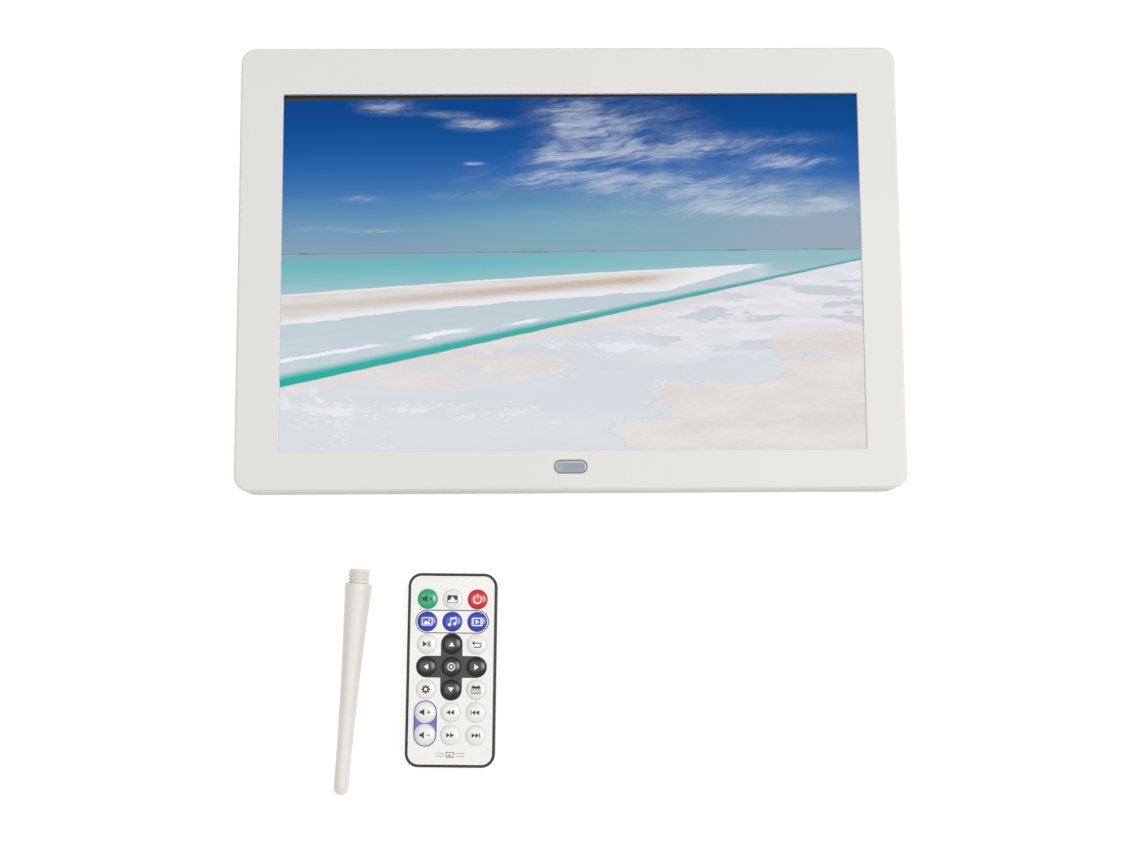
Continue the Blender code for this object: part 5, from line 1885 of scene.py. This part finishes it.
# ------------------------------------------------------------------ inner pieces and stage
class InnerPieces:
    """The CAD pieces that keep their own shape and only need their finish."""

    def build(self) -> None:
        """Dress every node that stays."""
        steel = PlatedSheet("sheet_metal", paint_colour(196, 198, 202), 0.34).material()
        board = SolderMask("circuit_green").material()
        black = Moulding("component_black", paint_colour(34, 34, 35), 0.5, mottle=0.06).material()
        gold = PlatedSheet("contact_gold", paint_colour(222, 190, 122), 0.25).material()
        film = Moulding("film_white", paint_colour(228, 228, 224), 0.6).material()
        amber = Moulding("ribbon_amber", paint_colour(186, 118, 44), 0.35, mottle=0.08).material()
        nickel = PlatedSheet("cell_steel", paint_colour(202, 202, 198), 0.24).material()
        clear = Moulding("led_clear", paint_colour(214, 220, 228), 0.08, coat=0.8).material()
        finishes = {
            "lcd_metal_frame": steel, "panel_bracket_left": steel, "panel_bracket_right": steel,
            "memory_card_socket": steel, "usb_socket": steel, "main_board": board,
            "key_board": board, "ir_receiver_board": board, "remote_circuit_board": board,
            "speaker_left": black, "speaker_right": black, "power_jack": black,
            "headphone_jack": black, "ir_receiver": black, "backlight_unit": film,
            "lcd_flex_cable": amber, "coin_cell": nickel, "remote_ir_led": clear,
            "battery_contact_positive": gold, "battery_contact_negative": gold,
        }
        for node, material in finishes.items():
            dress(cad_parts[node], material)
            log.info("%s keeps its shape", node)


@dataclass
class Studio:
    """Pale floor, soft light and the camera."""

    lens: float = 53.68
    place: tuple[float, float, float] = (-9.4 * MM, -169.4 * MM, 774.6 * MM)
    turn: tuple[float, float, float] = (radians(7.254), radians(-0.631), radians(-0.374))
    sensor: float = 36.0
    sky_strength: float = 0.36

    LIGHTS = (
        ("key_light", (1.5, 0.1, 2.4), 1.4, 41.0),
        ("top_fill", (-0.7, -0.1, 2.6), 2.0, 19.0),
        ("under_fill", (0.0, 0.0, -0.9), 1.0, 2.2),
    )

    def build(self) -> None:
        """Set up the floor, the lights and the camera."""
        self._floor()
        for name, place, size, power in self.LIGHTS:
            self._light(name, place, size, power)
        world = bpy.data.worlds.new("studio")
        bpy.context.scene.world = world
        world.use_nodes = True
        sky = world.node_tree.nodes["Background"]
        sky.inputs["Color"].default_value = (1, 1, 1, 1)
        sky.inputs["Strength"].default_value = self.sky_strength
        bpy.context.scene.view_settings.view_transform = "Standard"
        self._camera()

    @staticmethod
    def _floor() -> None:
        """A pale floor that is seen from above and looked through from below."""
        bpy.ops.object.select_all(action="DESELECT")
        bpy.ops.mesh.primitive_plane_add(size=8, location=(0, 0, -0.1 * MM))
        floor = bpy.context.object
        floor.name = "floor"
        paint = Paint("floor")
        paint.set(Base_Color=(0.35, 0.35, 0.35, 1), Roughness=0.9, Specular_IOR_Level=0.0,
                  Emission_Color=(1, 1, 1, 1), Emission_Strength=0.78)
        back = paint.node("ShaderNodeNewGeometry").outputs["Backfacing"]
        clear = paint.node("ShaderNodeBsdfTransparent").outputs[0]
        mixed = paint.node("ShaderNodeMixShader", None,
                           {0: back, 1: paint.shader.outputs[0], 2: clear})
        out = paint.tree.nodes["Material Output"]
        paint.feed(out.inputs["Surface"], mixed.outputs[0])
        dress(floor, paint.material)
        floor.visible_shadow = False

    @staticmethod
    def _light(name: str, place: Sequence[float], size: float, power: float) -> None:
        """A square soft light that looks at the middle of the object."""
        data = bpy.data.lights.new(name, "AREA")
        data.size = size
        data.energy = power
        light = bpy.data.objects.new(name, data)
        bpy.context.collection.objects.link(light)
        light.location = place
        aim = Vector((0, -0.07, 0)) - Vector(place)
        light.rotation_euler = aim.to_track_quat("-Z", "Y").to_euler()

    def _camera(self) -> None:
        """The camera, almost straight above and a little towards the lower side."""
        data = bpy.data.cameras.new("camera")
        data.lens = self.lens
        data.sensor_width = self.sensor
        data.clip_start, data.clip_end = 0.01, 20
        camera = bpy.data.objects.new("camera", data)
        bpy.context.collection.objects.link(camera)
        camera.location = self.place
        camera.rotation_euler = self.turn
        bpy.context.scene.camera = camera


def main() -> None:
    """Build everything in order."""
    logging.basicConfig(level=logging.INFO, format="%(message)s")
    Studio().build()
    InnerPieces().build()
    Housing().build()
    SensorWindow().build()
    Panel().build()
    RearFittings().build()
    SupportLeg().build()
    Remote().build()


if __name__ == "__main__":
    main()
